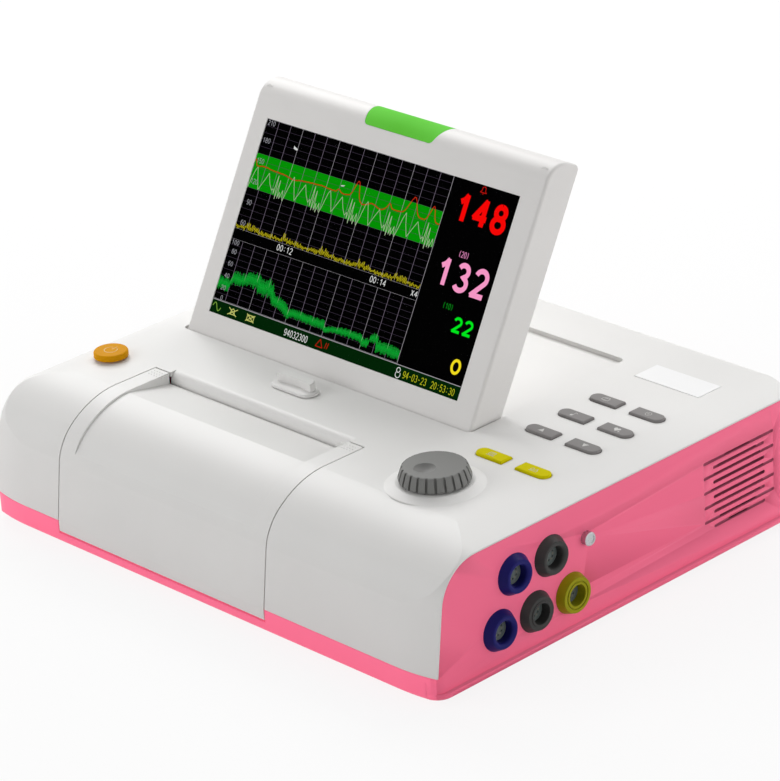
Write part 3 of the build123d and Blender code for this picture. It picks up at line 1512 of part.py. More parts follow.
with BuildPart() as network_port:
    block(
        (port_x - port_width / 2, rear_y - port_depth, port_z - port_height / 2),
        (port_x + port_width / 2, rear_y + port_proud, port_z + port_height / 2),
    )
    block(
        (port_x - port_width / 2 + port_wall, rear_y - port_depth + 2, port_z - port_height / 2 + port_frame),
        (port_x + port_width / 2 - port_wall, rear_y + 2, port_z + port_height / 2 - port_frame),
        mode=Mode.SUBTRACT,
    )
finish(network_port, "network_port")
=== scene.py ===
# %% [markdown]
# # A desktop fetal monitor
#
# The monitor is a low white housing on a pink tray. It carries a folding screen, a paper
# recorder behind a curved door, a knob, eight keys and a group of transducer sockets. Its
# solids come in as a fixed frame, and the first steps below give them their finishes. The later
# steps add the fine pieces: the picture on the display, the printed marks on the keys, the
# contact inserts in the sockets and the grip dots on the door. The knob and the lower housing
# are shaped anew, because their rounded forms go further than the solids do.

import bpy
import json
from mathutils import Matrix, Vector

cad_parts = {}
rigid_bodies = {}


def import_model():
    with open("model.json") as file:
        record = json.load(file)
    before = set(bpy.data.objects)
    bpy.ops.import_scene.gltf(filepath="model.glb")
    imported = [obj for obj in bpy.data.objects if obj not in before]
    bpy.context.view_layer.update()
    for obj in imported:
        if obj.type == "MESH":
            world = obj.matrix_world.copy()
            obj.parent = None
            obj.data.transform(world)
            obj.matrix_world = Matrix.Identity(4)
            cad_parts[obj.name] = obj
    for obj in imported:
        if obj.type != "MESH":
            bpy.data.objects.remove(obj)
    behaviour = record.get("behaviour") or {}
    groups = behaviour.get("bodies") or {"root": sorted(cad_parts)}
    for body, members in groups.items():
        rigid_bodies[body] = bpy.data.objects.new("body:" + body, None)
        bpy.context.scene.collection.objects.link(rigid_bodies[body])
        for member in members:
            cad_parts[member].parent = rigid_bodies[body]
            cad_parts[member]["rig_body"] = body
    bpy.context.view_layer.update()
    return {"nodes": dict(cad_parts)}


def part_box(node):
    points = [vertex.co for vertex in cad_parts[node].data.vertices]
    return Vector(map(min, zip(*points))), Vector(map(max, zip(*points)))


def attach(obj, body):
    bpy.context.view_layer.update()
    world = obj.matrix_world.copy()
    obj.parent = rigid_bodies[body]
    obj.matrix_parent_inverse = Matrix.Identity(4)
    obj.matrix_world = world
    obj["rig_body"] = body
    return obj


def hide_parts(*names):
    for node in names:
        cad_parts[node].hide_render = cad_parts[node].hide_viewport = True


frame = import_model()
nodes = frame["nodes"]

# %% [markdown]
# ## The camera
#
# A product picture is often taken from far away with a long lens, so that level edges stay
# nearly parallel. The camera is set by where it stands and how it turns, rather than aimed at
# a target, because a small roll about its own line of sight matters here too.

# %% Camera
import json
import random
from math import atan2, cos, exp, pi, radians, sin

import bpy
from mathutils import Matrix, Vector

mm = 0.001
image_width, image_height = 780, 781
focal_pixels = 3912
camera_place = Vector((1.2717, -1.1750, 0.8466))
yaw, pitch, roll = radians(47.2), radians(24.2), radians(-3.72)

ahead = Vector((-sin(yaw) * cos(pitch), cos(yaw) * cos(pitch), -sin(pitch)))
level_right = Vector((cos(yaw), sin(yaw), 0))
level_up = level_right.cross(ahead)
camera_right = cos(roll) * level_right + sin(roll) * level_up
camera_up = cos(roll) * level_up - sin(roll) * level_right

bpy.ops.object.camera_add()
camera = bpy.context.object
camera.name = "studio_camera"
camera.data.sensor_width = 36
camera.data.lens = focal_pixels * camera.data.sensor_width / max(image_width, image_height)
camera.data.clip_end = 30
turn = Matrix((camera_right, camera_up, -ahead)).transposed().to_4x4()
camera.matrix_world = Matrix.Translation(camera_place) @ turn
bpy.context.scene.camera = camera
print("lens", round(camera.data.lens, 1), "mm, standing", round(camera_place.length, 2), "m away")

# %% [markdown]
# ## Materials as expressions
#
# A finish is easier to read as a sum than as a web of nodes. A wire stands for one output
# socket, and adding or multiplying wires adds the Math nodes. All other nodes come from one
# method, which takes the type, the settings and what each socket gets.

# %% Wires and finishes
class Wire:
    """One output socket. Sums and products of wires add Math nodes."""

    def __init__(self, nodes_of, socket):
        self.nodes_of = nodes_of
        self.socket = socket

    def math(self, operation, *values):
        """A Math node on these values."""
        return self.nodes_of.add("ShaderNodeMath", {"operation": operation}, dict(enumerate(values)))

    def __add__(self, other):
        return self.math("ADD", self, other)

    def __mul__(self, other):
        return self.math("MULTIPLY", self, other)

    def __sub__(self, other):
        return self.math("SUBTRACT", self, other)

    def __rsub__(self, other):
        return self.math("SUBTRACT", other, self)

    def __truediv__(self, other):
        return self.math("DIVIDE", self, other)

    __radd__ = __add__
    __rmul__ = __mul__

    def above(self, level):
        """1 where the wire is above a level, and 0 elsewhere."""
        return self.math("GREATER_THAN", self, level)

    def between(self, low, high):
        """1 between two levels, and 0 elsewhere."""
        return self.above(low) * (1 - self.above(high))

    def held(self):
        """The wire, kept from going below 0 or above 1."""
        return self.math("MAXIMUM", self.math("MINIMUM", self, 1), 0)

    def part(self, axis):
        """One coordinate of a vector: 0, 1 or 2."""
        return self.nodes_of.add("ShaderNodeSeparateXYZ", {}, {"Vector": self}, axis)


class Nodes:
    """A node tree that is filled by method calls."""

    def __init__(self, tree):
        self.tree = tree

    def add(self, kind, settings=None, sockets=None, output=0):
        """Adds one node: its settings first, then a value or a wire for each socket."""
        made = self.tree.nodes.new(kind)
        for name, value in (settings or {}).items():
            setattr(made, name, value)
        for name, value in (sockets or {}).items():
            self.feed(made.inputs[name], value)
        return Wire(self, made.outputs[output]) if made.outputs else made

    def feed(self, socket, value):
        """Links a wire to a socket, or sets the socket's own value."""
        if isinstance(value, Wire):
            self.tree.links.new(value.socket, socket)
        else:
            socket.default_value = value

    def blend(self, factor, low, high):
        """A colour between two colours."""
        return self.add("ShaderNodeMix", {"data_type": "RGBA"}, {0: factor, 6: low, 7: high}, 2)

    def mix_shaders(self, factor, first, second):
        """The first shader where the factor is 0, and the second where it is 1."""
        return self.add("ShaderNodeMixShader", {}, {0: factor, 1: first, 2: second})


def srgb(red, green, blue):
    """A screen colour, 0 to 255, as the linear colour that a shader takes."""
    channels = (red, green, blue)
    return (*[((c / 255 + 0.055) / 1.055) ** 2.4 if c > 10 else c / 3295 for c in channels], 1)


def shade(color, share):
    """A lighter or darker copy of a linear colour."""
    return (*[min(c * share, 1) for c in color[:3]], 1)


class Finish(Nodes):
    """A material with one Principled shader. Its sockets are fed by name."""

    def __init__(self, name):
        self.material = bpy.data.materials.new(name)
        self.material.use_nodes = True
        super().__init__(self.material.node_tree)
        self.shader = self.tree.nodes["Principled BSDF"]

    def set(self, **sockets):
        """Feeds the shader's sockets. An underscore stands for the space in a socket's name."""
        for name, value in sockets.items():
            self.feed(self.shader.inputs[name.replace("_", " ")], value)

    def place(self, center=(0, 0, 0), turn=(0, 0, 0)):
        """Object coordinates in millimetres, from a centre and turned with the piece."""
        spot = self.add("ShaderNodeTexCoord", output="Object")
        sockets = {"Vector": spot, "Location": center, "Rotation": turn, "Scale": (mm, mm, mm)}
        return self.add("ShaderNodeMapping", {"vector_type": "TEXTURE"}, sockets)

    def noise(self, spot, size, detail=2.0):
        """Soft spots of about this size in millimetres."""
        return self.add("ShaderNodeTexNoise", {}, {"Vector": spot, "Scale": 1 / size, "Detail": detail})

    def stretch(self, spot, scales):
        """The same place, stretched along its axes."""
        return self.add("ShaderNodeVectorMath", {"operation": "MULTIPLY"}, {0: spot, 1: scales})

    def distance(self, spot, scales=(1, 1, 1)):
        """Distance from the centre, over the axes whose scale isn't 0."""
        stretched = self.stretch(spot, scales)
        return self.add("ShaderNodeVectorMath", {"operation": "LENGTH"}, {0: stretched}, 1)

    def soft_edges(self, radius=0.5):
        """The surface's direction, with sharp edges rounded by a radius in millimetres."""
        return self.add("ShaderNodeBevel", {"samples": 4}, {"Radius": radius * mm})

    def bump(self, height, depth, base=None):
        """Relief whose full height is this depth in millimetres."""
        sockets = {"Height": height, "Strength": 1.0, "Distance": depth * mm}
        return self.add("ShaderNodeBump", {}, sockets if base is None else {**sockets, "Normal": base})


def dress(finish, *names):
    """Gives solids a finish."""
    for name in names:
        for slot in nodes[name].material_slots:
            slot.material = finish.material


def center_of(name):
    """The middle of a solid's box."""
    low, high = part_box(name)
    return (low + high) / 2


print("wires and finishes are ready")

# %% [markdown]
# ## Studio light and floor
#
# The housing is pale, so the light is soft and comes from all round: a weak tent and a ring of
# wide softboxes. The strongest stands behind on the left, so that the top is lighter than the
# front and the screen casts a soft shadow toward the knob. The camera sees a white world and a
# floor which is mostly white by itself, so only the object's own soft shadow is left on it.

# %% Light and floor
tent_strength = 0.17
tent_seen = 1.0
floor_half = 12.0
floor_own_white = 0.88
cloud_size = 400  # millimetres

scene = bpy.context.scene
scene.view_settings.view_transform = "Standard"
scene.world = bpy.data.worlds.new("studio")
scene.world.use_nodes = True
tent = Nodes(scene.world.node_tree)
tent.tree.nodes.clear()


def seen_directly(nodes_of):
    """1 for rays from the camera and for those that metal and glass pass on."""
    kinds = ("Camera", "Glossy", "Transmission")
    rays = [nodes_of.add("ShaderNodeLightPath", output=f"Is {kind} Ray") for kind in kinds]
    return (rays[0] + rays[1] + rays[2]).above(0.5)


def background(strength):
    """A white background of this strength."""
    return tent.add("ShaderNodeBackground", {}, {"Color": (1, 1, 1, 1), "Strength": strength})


tent_mix = tent.mix_shaders(seen_directly(tent), background(tent_strength), background(tent_seen))
tent.add("ShaderNodeOutputWorld", {}, {"Surface": tent_mix})


def softbox(name, place, size, power):
    """A square lamp that looks at the housing."""
    bpy.ops.object.light_add(type="AREA", location=place)
    lamp = bpy.context.object
    lamp.name = name
    lamp.data.size = size
    lamp.data.energy = power
    lamp.rotation_euler = (-Vector(place)).to_track_quat("-Z", "Y").to_euler()


softboxes = (  # name, place and size in metres, power in watts
    ("rear_softbox", (-0.1, 1.1, 1.25), 0.9, 10.4),
    ("rear_left_softbox", (-1.2, 0.6, 1.2), 1.0, 16.4),
    ("front_left_softbox", (-1.1, -1.4, 0.9), 1.2, 12.3),
    ("front_low_softbox", (-0.2, -1.8, 0.4), 1.2, 3.4),
    ("side_rear_softbox", (1.6, 1.0, 0.5), 1.0, 7.2),
    ("side_softbox", (1.9, 0.0, 0.35), 1.2, 8.5),
)
for box in softboxes:
    softbox(*box)

bpy.ops.mesh.primitive_plane_add(size=2 * floor_half)
floor = bpy.context.object
floor.name = "studio_floor"
floor_finish = Finish("studio_paper")
clouds = floor_finish.noise(floor_finish.place(), cloud_size)
paper_tones = [(tone, tone, tone, 1) for tone in (0.84, 0.86)]
floor_finish.set(Base_Color=floor_finish.blend(clouds, *paper_tones), Roughness=0.9)
floor_light = floor_finish.add("ShaderNodeEmission", {}, {"Color": (1, 1, 1, 1), "Strength": 1.0})
floor_paper = Wire(floor_finish, floor_finish.shader.outputs[0])
floor_share = seen_directly(floor_finish) * floor_own_white
floor_mix = floor_finish.mix_shaders(floor_share, floor_paper, floor_light)
floor_finish.feed(floor_finish.tree.nodes["Material Output"].inputs["Surface"], floor_mix)
floor.data.materials.append(floor_finish.material)

# %% [markdown]
# ## Moulded plastic
#
# All the shells are injection moulded. Such a surface is never quite even: the melt leaves
# soft flow marks some centimetres wide, and the spark-eroded tool leaves a satin grain of a
# few tenths of a millimetre. Both are noise, one feeding the colour and one the relief, and
# the shells differ in colour, grain and gloss. The pink shell also gets painted shade in the
# grooves round its speaker and a painted glow on its front rim.

# %% Shells, keys and collars
flow_size = 42  # millimetres


def moulded(name, color, grain=0.35, depth=0.006, roughness=0.42, flow=0.025, gloss=0.3):
    """Injection-moulded plastic with flow marks, a fine grain and slightly rounded edges."""
    finish = Finish(name)
    spot = finish.place()
    marks = finish.noise(spot, flow_size, 1.0)
    pits = finish.noise(spot, grain, 3.0)
    finish.set(
        Base_Color=finish.blend(marks, shade(color, 1 - flow), shade(color, 1 + flow)),
        Roughness=roughness + 0.12 * (pits - 0.5),
        Normal=finish.bump(pits, depth, finish.soft_edges()),
        Specular_IOR_Level=gloss,
    )
    return finish


shell_white = moulded("shell_white", srgb(232, 231, 229))
screen_white = moulded("screen_white", srgb(230, 228, 226), grain=0.3)
shell_pink = moulded("shell_pink", srgb(254, 115, 149), flow=0.015, gloss=0.15)
side_panel_face = 154.6
groove_top, groove_floor = side_panel_face - 0.2, side_panel_face - 6
grille_middle = center_of("speaker") / mm
grille_half_depth, grille_half_height = 27.0, 20.0


def worn_grooves(finish, tone):
    """Paints shade on the plastic below the face of the side panel, round the speaker: a darker tone in the
    grooves, where shade falls.
    """
    spot = finish.place()
    inside = spot.part(0).between(groove_floor, groove_top)
    for axis, half in ((1, grille_half_depth), (2, grille_half_height)):
        middle = grille_middle[axis]
        inside = inside * spot.part(axis).between(middle - half, middle + half)
    plain = Wire(finish, finish.shader.inputs["Base Color"].links[0].from_socket)
    finish.set(Base_Color=finish.blend(inside, plain, tone))


# A painted glow on the front rim stands in for light thrown up by the table.
glow_start, glow_depth, glow_top = -114, 10, 14.7  # where the glow begins, its way to full, its top
glow_left, glow_right = -154.5, 153.0
glow_strength = 0.27


def lit_from_below(finish, tone):
    """Paints a glow on the front rim, in place of the light that a white table throws up at it."""
    spot = finish.place()
    near_front = ((glow_start - spot.part(1)) / glow_depth).held()
    below_top = 1 - spot.part(2).above(glow_top)
    rim = near_front * below_top * spot.part(0).between(glow_left, glow_right)
    finish.set(Emission_Color=finish.blend(rim, (0, 0, 0, 1), tone), Emission_Strength=glow_strength)


# Painted shade: the grooves round the speaker get a darker tone.
worn_grooves(shell_pink, srgb(176, 92, 116))
# Painted light: the front rim glows, standing in for light from the table.
lit_from_below(shell_pink, srgb(254, 115, 149))
dress(shell_white, "top_housing", "paper_door", "screen_latch")
dress(screen_white, "screen_housing", "screen_back_cover")
dress(shell_pink, "bottom_housing")

grey_keys = [f"key_{number}" for number in (2, 3, 4, 6, 7, 8)]
blue_collars = ("ultrasound_socket_1", "ultrasound_socket_2")
grey_collars = ("toco_socket", "stimulator_socket")
key_grain = {"grain": 0.22, "depth": 0.008, "roughness": 0.5}
knob_grain = {"grain": 0.2, "depth": 0.01, "roughness": 0.46}
collar_grain = {"grain": 0.3, "roughness": 0.4}
moulded_solids = (  # finish, colour, settings, solids
    ("key_grey", (134, 131, 130), {**key_grain, "gloss": 0.12}, grey_keys),
    ("key_yellow", (214, 203, 4), {**key_grain, "gloss": 0.02}, ["key_1", "key_5"]),
    ("power_orange", (222, 154, 12), {"grain": 0.25, "roughness": 0.4, "gloss": 0.02}, ["power_button"]),
    ("knob_grey", (126, 126, 124), {**knob_grain, "gloss": 0.15}, ["control_knob"]),
    ("collar_blue", (27, 27, 98), {**collar_grain, "gloss": 0.08}, blue_collars),
    ("collar_grey", (62, 62, 61), {**collar_grain, "gloss": 0.1}, grey_collars),
    ("collar_olive", (150, 148, 18), {**collar_grain, "gloss": 0.08}, ["marker_socket"]),
    ("badge_white", (250, 250, 250), {"grain": 0.15, "depth": 0.002, "roughness": 0.3}, ["badge_plate"]),
    ("tray_grey", (190, 191, 192), {"grain": 0.5, "depth": 0.01, "roughness": 0.55}, ["paper_tray"]),
    ("encoder_black", (52, 52, 54), {"roughness": 0.5}, ["encoder_body"]),
    ("inlet_black", (40, 40, 42), {"grain": 0.3, "roughness": 0.45}, ["mains_inlet"]),
)
for name, color, settings, solids in moulded_solids:
    dress(moulded(name, srgb(*color), **settings), *solids)
print(len(bpy.data.materials), "finishes so far")

# %% [markdown]
# ## The alarm light
#
# The light is a clear green cap over a few lamps. Its colour is a little deeper in the middle
# and paler toward its rim. Its glow is painted: part of its colour is emission over a darkened
# base, which keeps light and shade on the cap even.

# %% Alarm light
light_low, light_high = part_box("alarm_light")
light_span = (light_high.x - light_low.x) / mm
# How much the base is darkened under the painted glow.
painted_glow_dark_share = 0.28


def translucent_green():
    """Clear green plastic with a painted glow, which evens out its light and shade."""
    finish = Finish("alarm_green")
    spot = finish.place(center=center_of("alarm_light"))
    middle = 1 - finish.distance(spot, (2 / light_span, 0, 0))
    cells = finish.noise(spot, 6.0, 1.0)
    body = finish.blend(middle + 0.1 * cells, srgb(104, 204, 70), srgb(98, 198, 62))
    # Painted light: emission over a darkened base keeps the cap evenly lit.
    finish.set(
        Base_Color=finish.blend(painted_glow_dark_share, body, (0, 0, 0, 1)), Roughness=0.5 + 0.08 * cells,
        Emission_Color=body, Emission_Strength=0.34, Specular_IOR_Level=0.02,
        Normal=finish.bump(cells, 0.01),
    )
    return finish


dress(translucent_green(), "alarm_light")
print("alarm light is", round(light_span, 1), "mm wide")

# %% [markdown]
# ## Metal, rubber, paper and boards
#
# The small pieces each get what shows on the real ones. Turned metal has rings round its
# axis, zinc-plated sheet has spangles, ground rubber has fine cross lines, fan-fold paper
# shows the edges of its sheets, and a circuit board has copper tracks under green lacquer.

# %% Metal
ring_steepness = 9.0  # radians of the wave in a millimetre


def turned_metal(name, color, center, axes, roughness=0.3):
    """Metal turned on a lathe: fine rings round an axis. The scales in axes leave that axis out."""
    finish = Finish(name)
    spot = finish.place(center=center)
    turns = finish.distance(spot, axes) * ring_steepness
    rings = turns.math("SINE", turns)
    haze = finish.noise(spot, 3.0)
    finish.set(
        Base_Color=finish.blend(haze, shade(color, 0.94), shade(color, 1.04)), Metallic=1.0,
        Roughness=roughness + 0.08 * haze, Normal=finish.bump(rings, 0.004),
    )
    return finish


def plated_sheet(name, color, spangle=5.0):
    """Zinc-plated sheet: flat crystals, each with its own tone and gloss."""
    finish = Finish(name)
    spot = finish.place()
    crystals = finish.add("ShaderNodeTexVoronoi", {}, {"Vector": spot, "Scale": 1 / spangle}, "Distance")
    streaks = finish.noise(finish.stretch(spot, (1, 1, 0.1)), 0.8, 2.0)
    finish.set(
        Base_Color=finish.blend(crystals, shade(color, 0.9), shade(color, 1.05)), Metallic=0.9,
        Roughness=0.28 + 0.2 * crystals, Normal=finish.bump(streaks, 0.004),
    )
    return finish


steel = srgb(186, 187, 189)
round_x, round_z = (0, 1, 1), (1, 1, 0)
dress(turned_metal("stud_steel", steel, center_of("earth_stud"), round_x, 0.24), "earth_stud")
dress(turned_metal("spindle_steel", steel, center_of("encoder_spindle"), round_z), "encoder_spindle")
dress(turned_metal("pin_steel", steel, center_of("hinge_pins"), round_x), "hinge_pins")
dress(plated_sheet("screw_steel", srgb(196, 197, 199), 1.4), "housing_screws", "screen_screws", "socket_nuts")
dress(plated_sheet("sheet_steel", srgb(188, 190, 192)), "printer_frame", "power_supply", "hinge_mounts")
dress(plated_sheet("motor_steel", srgb(170, 172, 174), 2.5), "stepper_motor")
print("metal on", sum("steel" in o.material_slots[0].material.name for o in nodes.values()), "solids")

# %% Rubber, paper, boards and modules
def ground_rubber(name, color, lines=(1, 1, 1), size=0.5, roughness=0.75):
    """Rubber with fine grinding lines, which lie across the most stretched axis."""
    finish = Finish(name)
    spot = finish.place()
    marks = finish.noise(finish.stretch(spot, lines), size, 3.0)
    finish.set(
        Base_Color=finish.blend(marks, shade(color, 0.8), shade(color, 1.25)),
        Roughness=roughness + 0.15 * (marks - 0.5), Normal=finish.bump(marks, 0.02),
    )
    return finish


grid_pitch, line_share = 5.0, 0.06


def fan_fold_paper():
    """A pad of folded paper: sheet edges on its sides, a faint pink grid on top."""
    finish = Finish("fan_fold_paper")
    spot = finish.place()
    edges = finish.noise(finish.stretch(spot, (0.02, 0.02, 1)), 0.25, 3.0)
    fibres = finish.noise(spot, 0.6, 4.0)
    lines = []
    for axis in (0, 1):
        pitches = spot.part(axis) / grid_pitch
        lines.append(pitches.math("FRACT", pitches).between(0.0, line_share))
    grid = lines[0].math("MAXIMUM", *lines)
    paper = finish.blend(edges, srgb(214, 208, 198), srgb(247, 244, 238))
    finish.set(
        Base_Color=finish.blend(grid * 0.5, paper, srgb(226, 150, 150)),
        Roughness=0.85, Normal=finish.bump(fibres + edges, 0.02),
    )
    return finish


lacquer_thickness = 0.05


def circuit_board(name, top_z):
    """Green lacquer with tracks under it, and black chips above the board."""
    finish = Finish(name)
    spot = finish.place()
    wander = finish.noise(finish.stretch(spot, (0.25, 1, 1)), 3.0, 1.0)
    tracks = wander.between(0.47, 0.53)
    cells = finish.add("ShaderNodeTexVoronoi", {}, {"Vector": spot, "Scale": 0.25}, "Distance")
    pads = cells.between(-1.0, 0.13)
    lacquer = finish.blend(tracks, srgb(16, 84, 44), srgb(42, 122, 66))
    board = finish.blend(pads, lacquer, srgb(200, 190, 130))
    chips = spot.part(2).above(top_z / mm + lacquer_thickness)
    finish.set(
        Base_Color=finish.blend(chips, board, srgb(34, 34, 36)), Metallic=pads * (1 - chips) * 0.8,
        Roughness=0.35 + 0.25 * chips, Normal=finish.bump(tracks + pads, 0.03),
    )
    return finish


def banded(name, colors, axis, edge, roughness=0.5, metal=0.0):
    """Two materials in one solid, one below and one above a level on an axis, in millimetres."""
    finish = Finish(name)
    spot = finish.place()
    grain = finish.noise(spot, 0.6, 3.0)
    upper = spot.part(axis).above(edge)
    tone = finish.blend(upper, colors[0], colors[1])
    dark = finish.blend(upper, shade(colors[0], 0.8), shade(colors[1], 0.85))
    finish.set(
        Base_Color=finish.blend(grain, dark, tone), Metallic=upper * metal,
        Roughness=roughness + 0.15 * (grain - 0.5), Normal=finish.bump(grain, 0.01),
    )
    return finish


dress(ground_rubber("foot_rubber", srgb(44, 44, 45), size=0.4), "rubber_feet")
dress(ground_rubber("roller_rubber", srgb(58, 58, 60), lines=(4, 1, 1)), "platen_roller")
dress(ground_rubber("mat_rubber", srgb(196, 196, 190), size=1.2, roughness=0.6), "dome_mat")
dress(fan_fold_paper(), "paper_stack")

main_board_thickness = 1.6
dress(circuit_board("main_lacquer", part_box("main_board")[0].z + main_board_thickness * mm), "main_board")
dress(circuit_board("control_lacquer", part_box("control_board")[1].z), "control_board")
dress(circuit_board("screen_lacquer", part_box("screen_board")[1].z), "screen_board")

along_x, along_y, along_z = 0, 1, 2
low_side, high_side = 0, 1
carbon = (60, 60, 62)
modules = (  # solid, finish, colours below and above a level, that level from a side of its box, settings
    ("print_head", "head_ceramic", (150, 152, 156), (226, 224, 214), along_z, high_side, -5, {}),
    ("power_switch", "switch_parts", (24, 92, 52), (38, 38, 40), along_z, low_side, 1.6, {}),
    ("socket_board", "insert_grey", (90, 96, 94), (120, 118, 108), along_x, high_side, -3.9, {"metal": 0.3}),
    ("speaker", "speaker_parts", (150, 151, 152), carbon, along_x, low_side, 8, {}),
    ("network_port", "port_shell", carbon, (188, 190, 192), along_y, high_side, -1.5, {"metal": 1.0}),
)
for solid, name, below, above, axis, side, step, settings in modules:
    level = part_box(solid)[side][axis] / mm + step
    dress(banded(name, (srgb(*below), srgb(*above)), axis, level, **settings), solid)
battery_level = 20
battery_blues = (srgb(44, 70, 120), srgb(30, 44, 84))
dress(banded("battery_wrap", battery_blues, along_z, battery_level, roughness=0.3), "battery_pack")
print("finished", sum(bool(o.material_slots) for o in nodes.values()), "solids")

# %% [markdown]
# ## The display
#
# The picture is drawn as thin printed pieces just in front of the panel, behind the glass, so
# that its lines stay sharp at any distance. First comes the place of the panel. The panel and
# the glass are slabs with the same centre line, so the line between their centres is the
# normal of the screen, and the slant of the screen follows from it.

# %% Display place
panel_low, panel_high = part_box("lcd_panel")
panel_center = center_of("lcd_panel")
normal = (center_of("screen_glass") - panel_center).normalized()
screen_slant = atan2(-normal.y, normal.z)
display_turn = Matrix.Rotation(screen_slant, 4, "X")


def reach(name, direction):
    """The lowest and highest distance of a solid's points along a direction."""
    distances = [v.co.dot(direction) for v in nodes[name].data.vertices]
    return min(distances), max(distances)


panel_face = reach("lcd_panel", normal)[1]
glass_back = reach("screen_glass", normal)[0]
display_up = display_turn @ Vector((0, 1, 0))
panel_foot, panel_head = reach("lcd_panel", display_up)
hidden_rim = 2.0
display_width = (panel_high.x - panel_low.x) / mm - 2 * hidden_rim
display_height = (panel_head - panel_foot) / mm - 2 * hidden_rim
picture_shift = -1.2  # the picture sits a little toward the side away from the keys
gap = (glass_back - panel_face) / mm

# The display's own axes: across from the left edge and down from the top edge.
display_corner = (
    panel_center + normal * (panel_face - panel_center.dot(normal))
    + Vector((1, 0, 0)) * (picture_shift - display_width / 2) * mm + display_up * display_height / 2 * mm
)
print("display", round(display_width, 1), "by", round(display_height, 1), "mm")
print("glass", round(gap, 2), "mm in front of the panel")

# %% Panel and glass
chart_columns = 15
columns_across = 19.95  # the chart's columns and the wide column of numbers
column = display_width / columns_across
chart_right = chart_columns * column
upper_top, upper_row, upper_rows = 0.1, 3.575, 16
lower_top, lower_row, lower_rows = 62.6, 3.14, 10
bar_top = 94.4
upper_height, lower_height = upper_row * upper_rows, lower_row * lower_rows
lower_bottom = lower_top + lower_height
rows_above_band, rows_to_band_foot = 5, 10
band_top, band_bottom = upper_top + rows_above_band * upper_row, upper_top + rows_to_band_foot * upper_row


def lit_panel():
    """Black panel with the green band behind the upper chart and the dark bar at its foot."""
    finish = Finish("display_panel")
    spot = finish.place(center=display_corner, turn=(screen_slant, 0, 0))
    across, down = spot.part(0), 0 - spot.part(1)
    band = down.between(band_top, band_bottom) * across.between(-1.0, chart_right)
    bar = down.between(bar_top, display_height + 1)
    pixels = finish.noise(finish.stretch(spot, (1, 0.3, 1)), 0.3, 1.0)
    green = finish.blend(pixels, srgb(0, 140, 0), srgb(6, 152, 6))
    foot_bar = finish.blend(pixels, srgb(0, 30, 4), srgb(2, 40, 6))
    under = finish.blend(bar, (0, 0, 0, 1), foot_bar)
    finish.set(
        Base_Color=(0.001, 0.001, 0.001, 1), Roughness=0.6 + 0.1 * pixels, Specular_IOR_Level=0.0,
        Emission_Color=finish.blend(band, under, green), Emission_Strength=1.0,
    )
    return finish


def cover_glass():
    """Thin glass with an anti-glare coat: nearly clear, and without mirror images."""
    finish = Finish("cover_glass")
    dust = finish.noise(finish.place(), 1.5, 4.0)
    finish.set(Base_Color=(0.004, 0.004, 0.005, 1), Specular_IOR_Level=0.0)
    finish.set(Roughness=0.3 + 0.1 * dust, Alpha=0.04)
    return finish


dress(lit_panel(), "lcd_panel")
dress(cover_glass(), "screen_glass")
print("charts are", round(chart_right, 1), "mm wide")

# %% [markdown]
# ## Lines on the display
#
# A drawn line starts as a poly curve with a small bevel, which is made a mesh, flattened and
# then laid on the panel. A chart's grid is a grid primitive with a Wireframe modifier. Each
# kind of line has its own height in the gap, so that none flickers through another.

# %% Helpers for drawn pieces
def lit(name, color):
    """Glowing picture dots of one colour, a little uneven from dot to dot."""
    finish = Finish(name)
    dots = finish.noise(finish.place(), 0.4, 1.0)
    finish.set(
        Base_Color=(0.0, 0.0, 0.0, 1), Roughness=0.6, Specular_IOR_Level=0.0, Emission_Strength=1.0,
        Emission_Color=finish.blend(dots, shade(color, 0.94), color),
    )
    return finish


def select_only(*pieces):
    """Selects these pieces and nothing else, the first one active."""
    bpy.ops.object.select_all(action="DESELECT")
    for piece in pieces:
        piece.select_set(True)
    bpy.context.view_layer.objects.active = pieces[0]


def joined(name, pieces):
    """Several meshes as one piece."""
    select_only(*pieces)
    if len(pieces) > 1:
        bpy.ops.object.join()
    pieces[0].name = name
    return pieces[0]


def curve_mesh(name, runs, closed=False, **settings):
    """A mesh from a curve whose runs go straight from point to point. The settings go to the curve."""
    curve = bpy.data.curves.new(name, "CURVE")
    for setting, value in settings.items():
        setattr(curve, setting, value)
    for run in runs:
        spline = curve.splines.new("POLY")
        spline.points.add(len(run) - 1)
        spline.use_cyclic_u = closed
        for spot, point in zip(spline.points, run):
            spot.co = (*[distance * mm for distance in point], 1)
    piece = bpy.data.objects.new(name, curve)
    scene.collection.objects.link(piece)
    select_only(piece)
    bpy.ops.object.convert(target="MESH")
    return bpy.context.object


def paint(piece, material):
    """Gives a piece one material."""
    piece.data.materials.clear()
    piece.data.materials.append(material)


sharp_corner = radians(35)
corner_overlap = 0.3  # of the line's width


def smooth_runs(points, width):
    """Splits a path at its sharp corners. Each run goes a little past its corners and fills them."""
    runs, run = [], [Vector(points[0])]
    for before, here, after in zip(points, points[1:], points[2:]):
        here = Vector(here)
        run.append(here)
        turn_there = (here - Vector(before)).angle(Vector(after) - here, 0)
        if turn_there > sharp_corner:
            runs.append(run)
            run = [here]
    runs.append(run + [Vector(points[-1])])
    for number, run in enumerate(runs):
        if number > 0:
            run[0] = run[0] + (run[0] - run[1]).normalized() * corner_overlap * width
        if number < len(runs) - 1:
            run[-1] = run[-1] + (run[-1] - run[-2]).normalized() * corner_overlap * width
    return runs


def drawn_line(name, points, width):
    """A line through points (across, up) in millimetres, as a round thread of this width."""
    runs = [[(x, y, 0) for x, y in run] for run in smooth_runs(points, width)]
    thread = {"bevel_depth": width / 2 * mm, "bevel_resolution": 0, "use_fill_caps": True}
    return curve_mesh(name, runs, dimensions="3D", **thread)


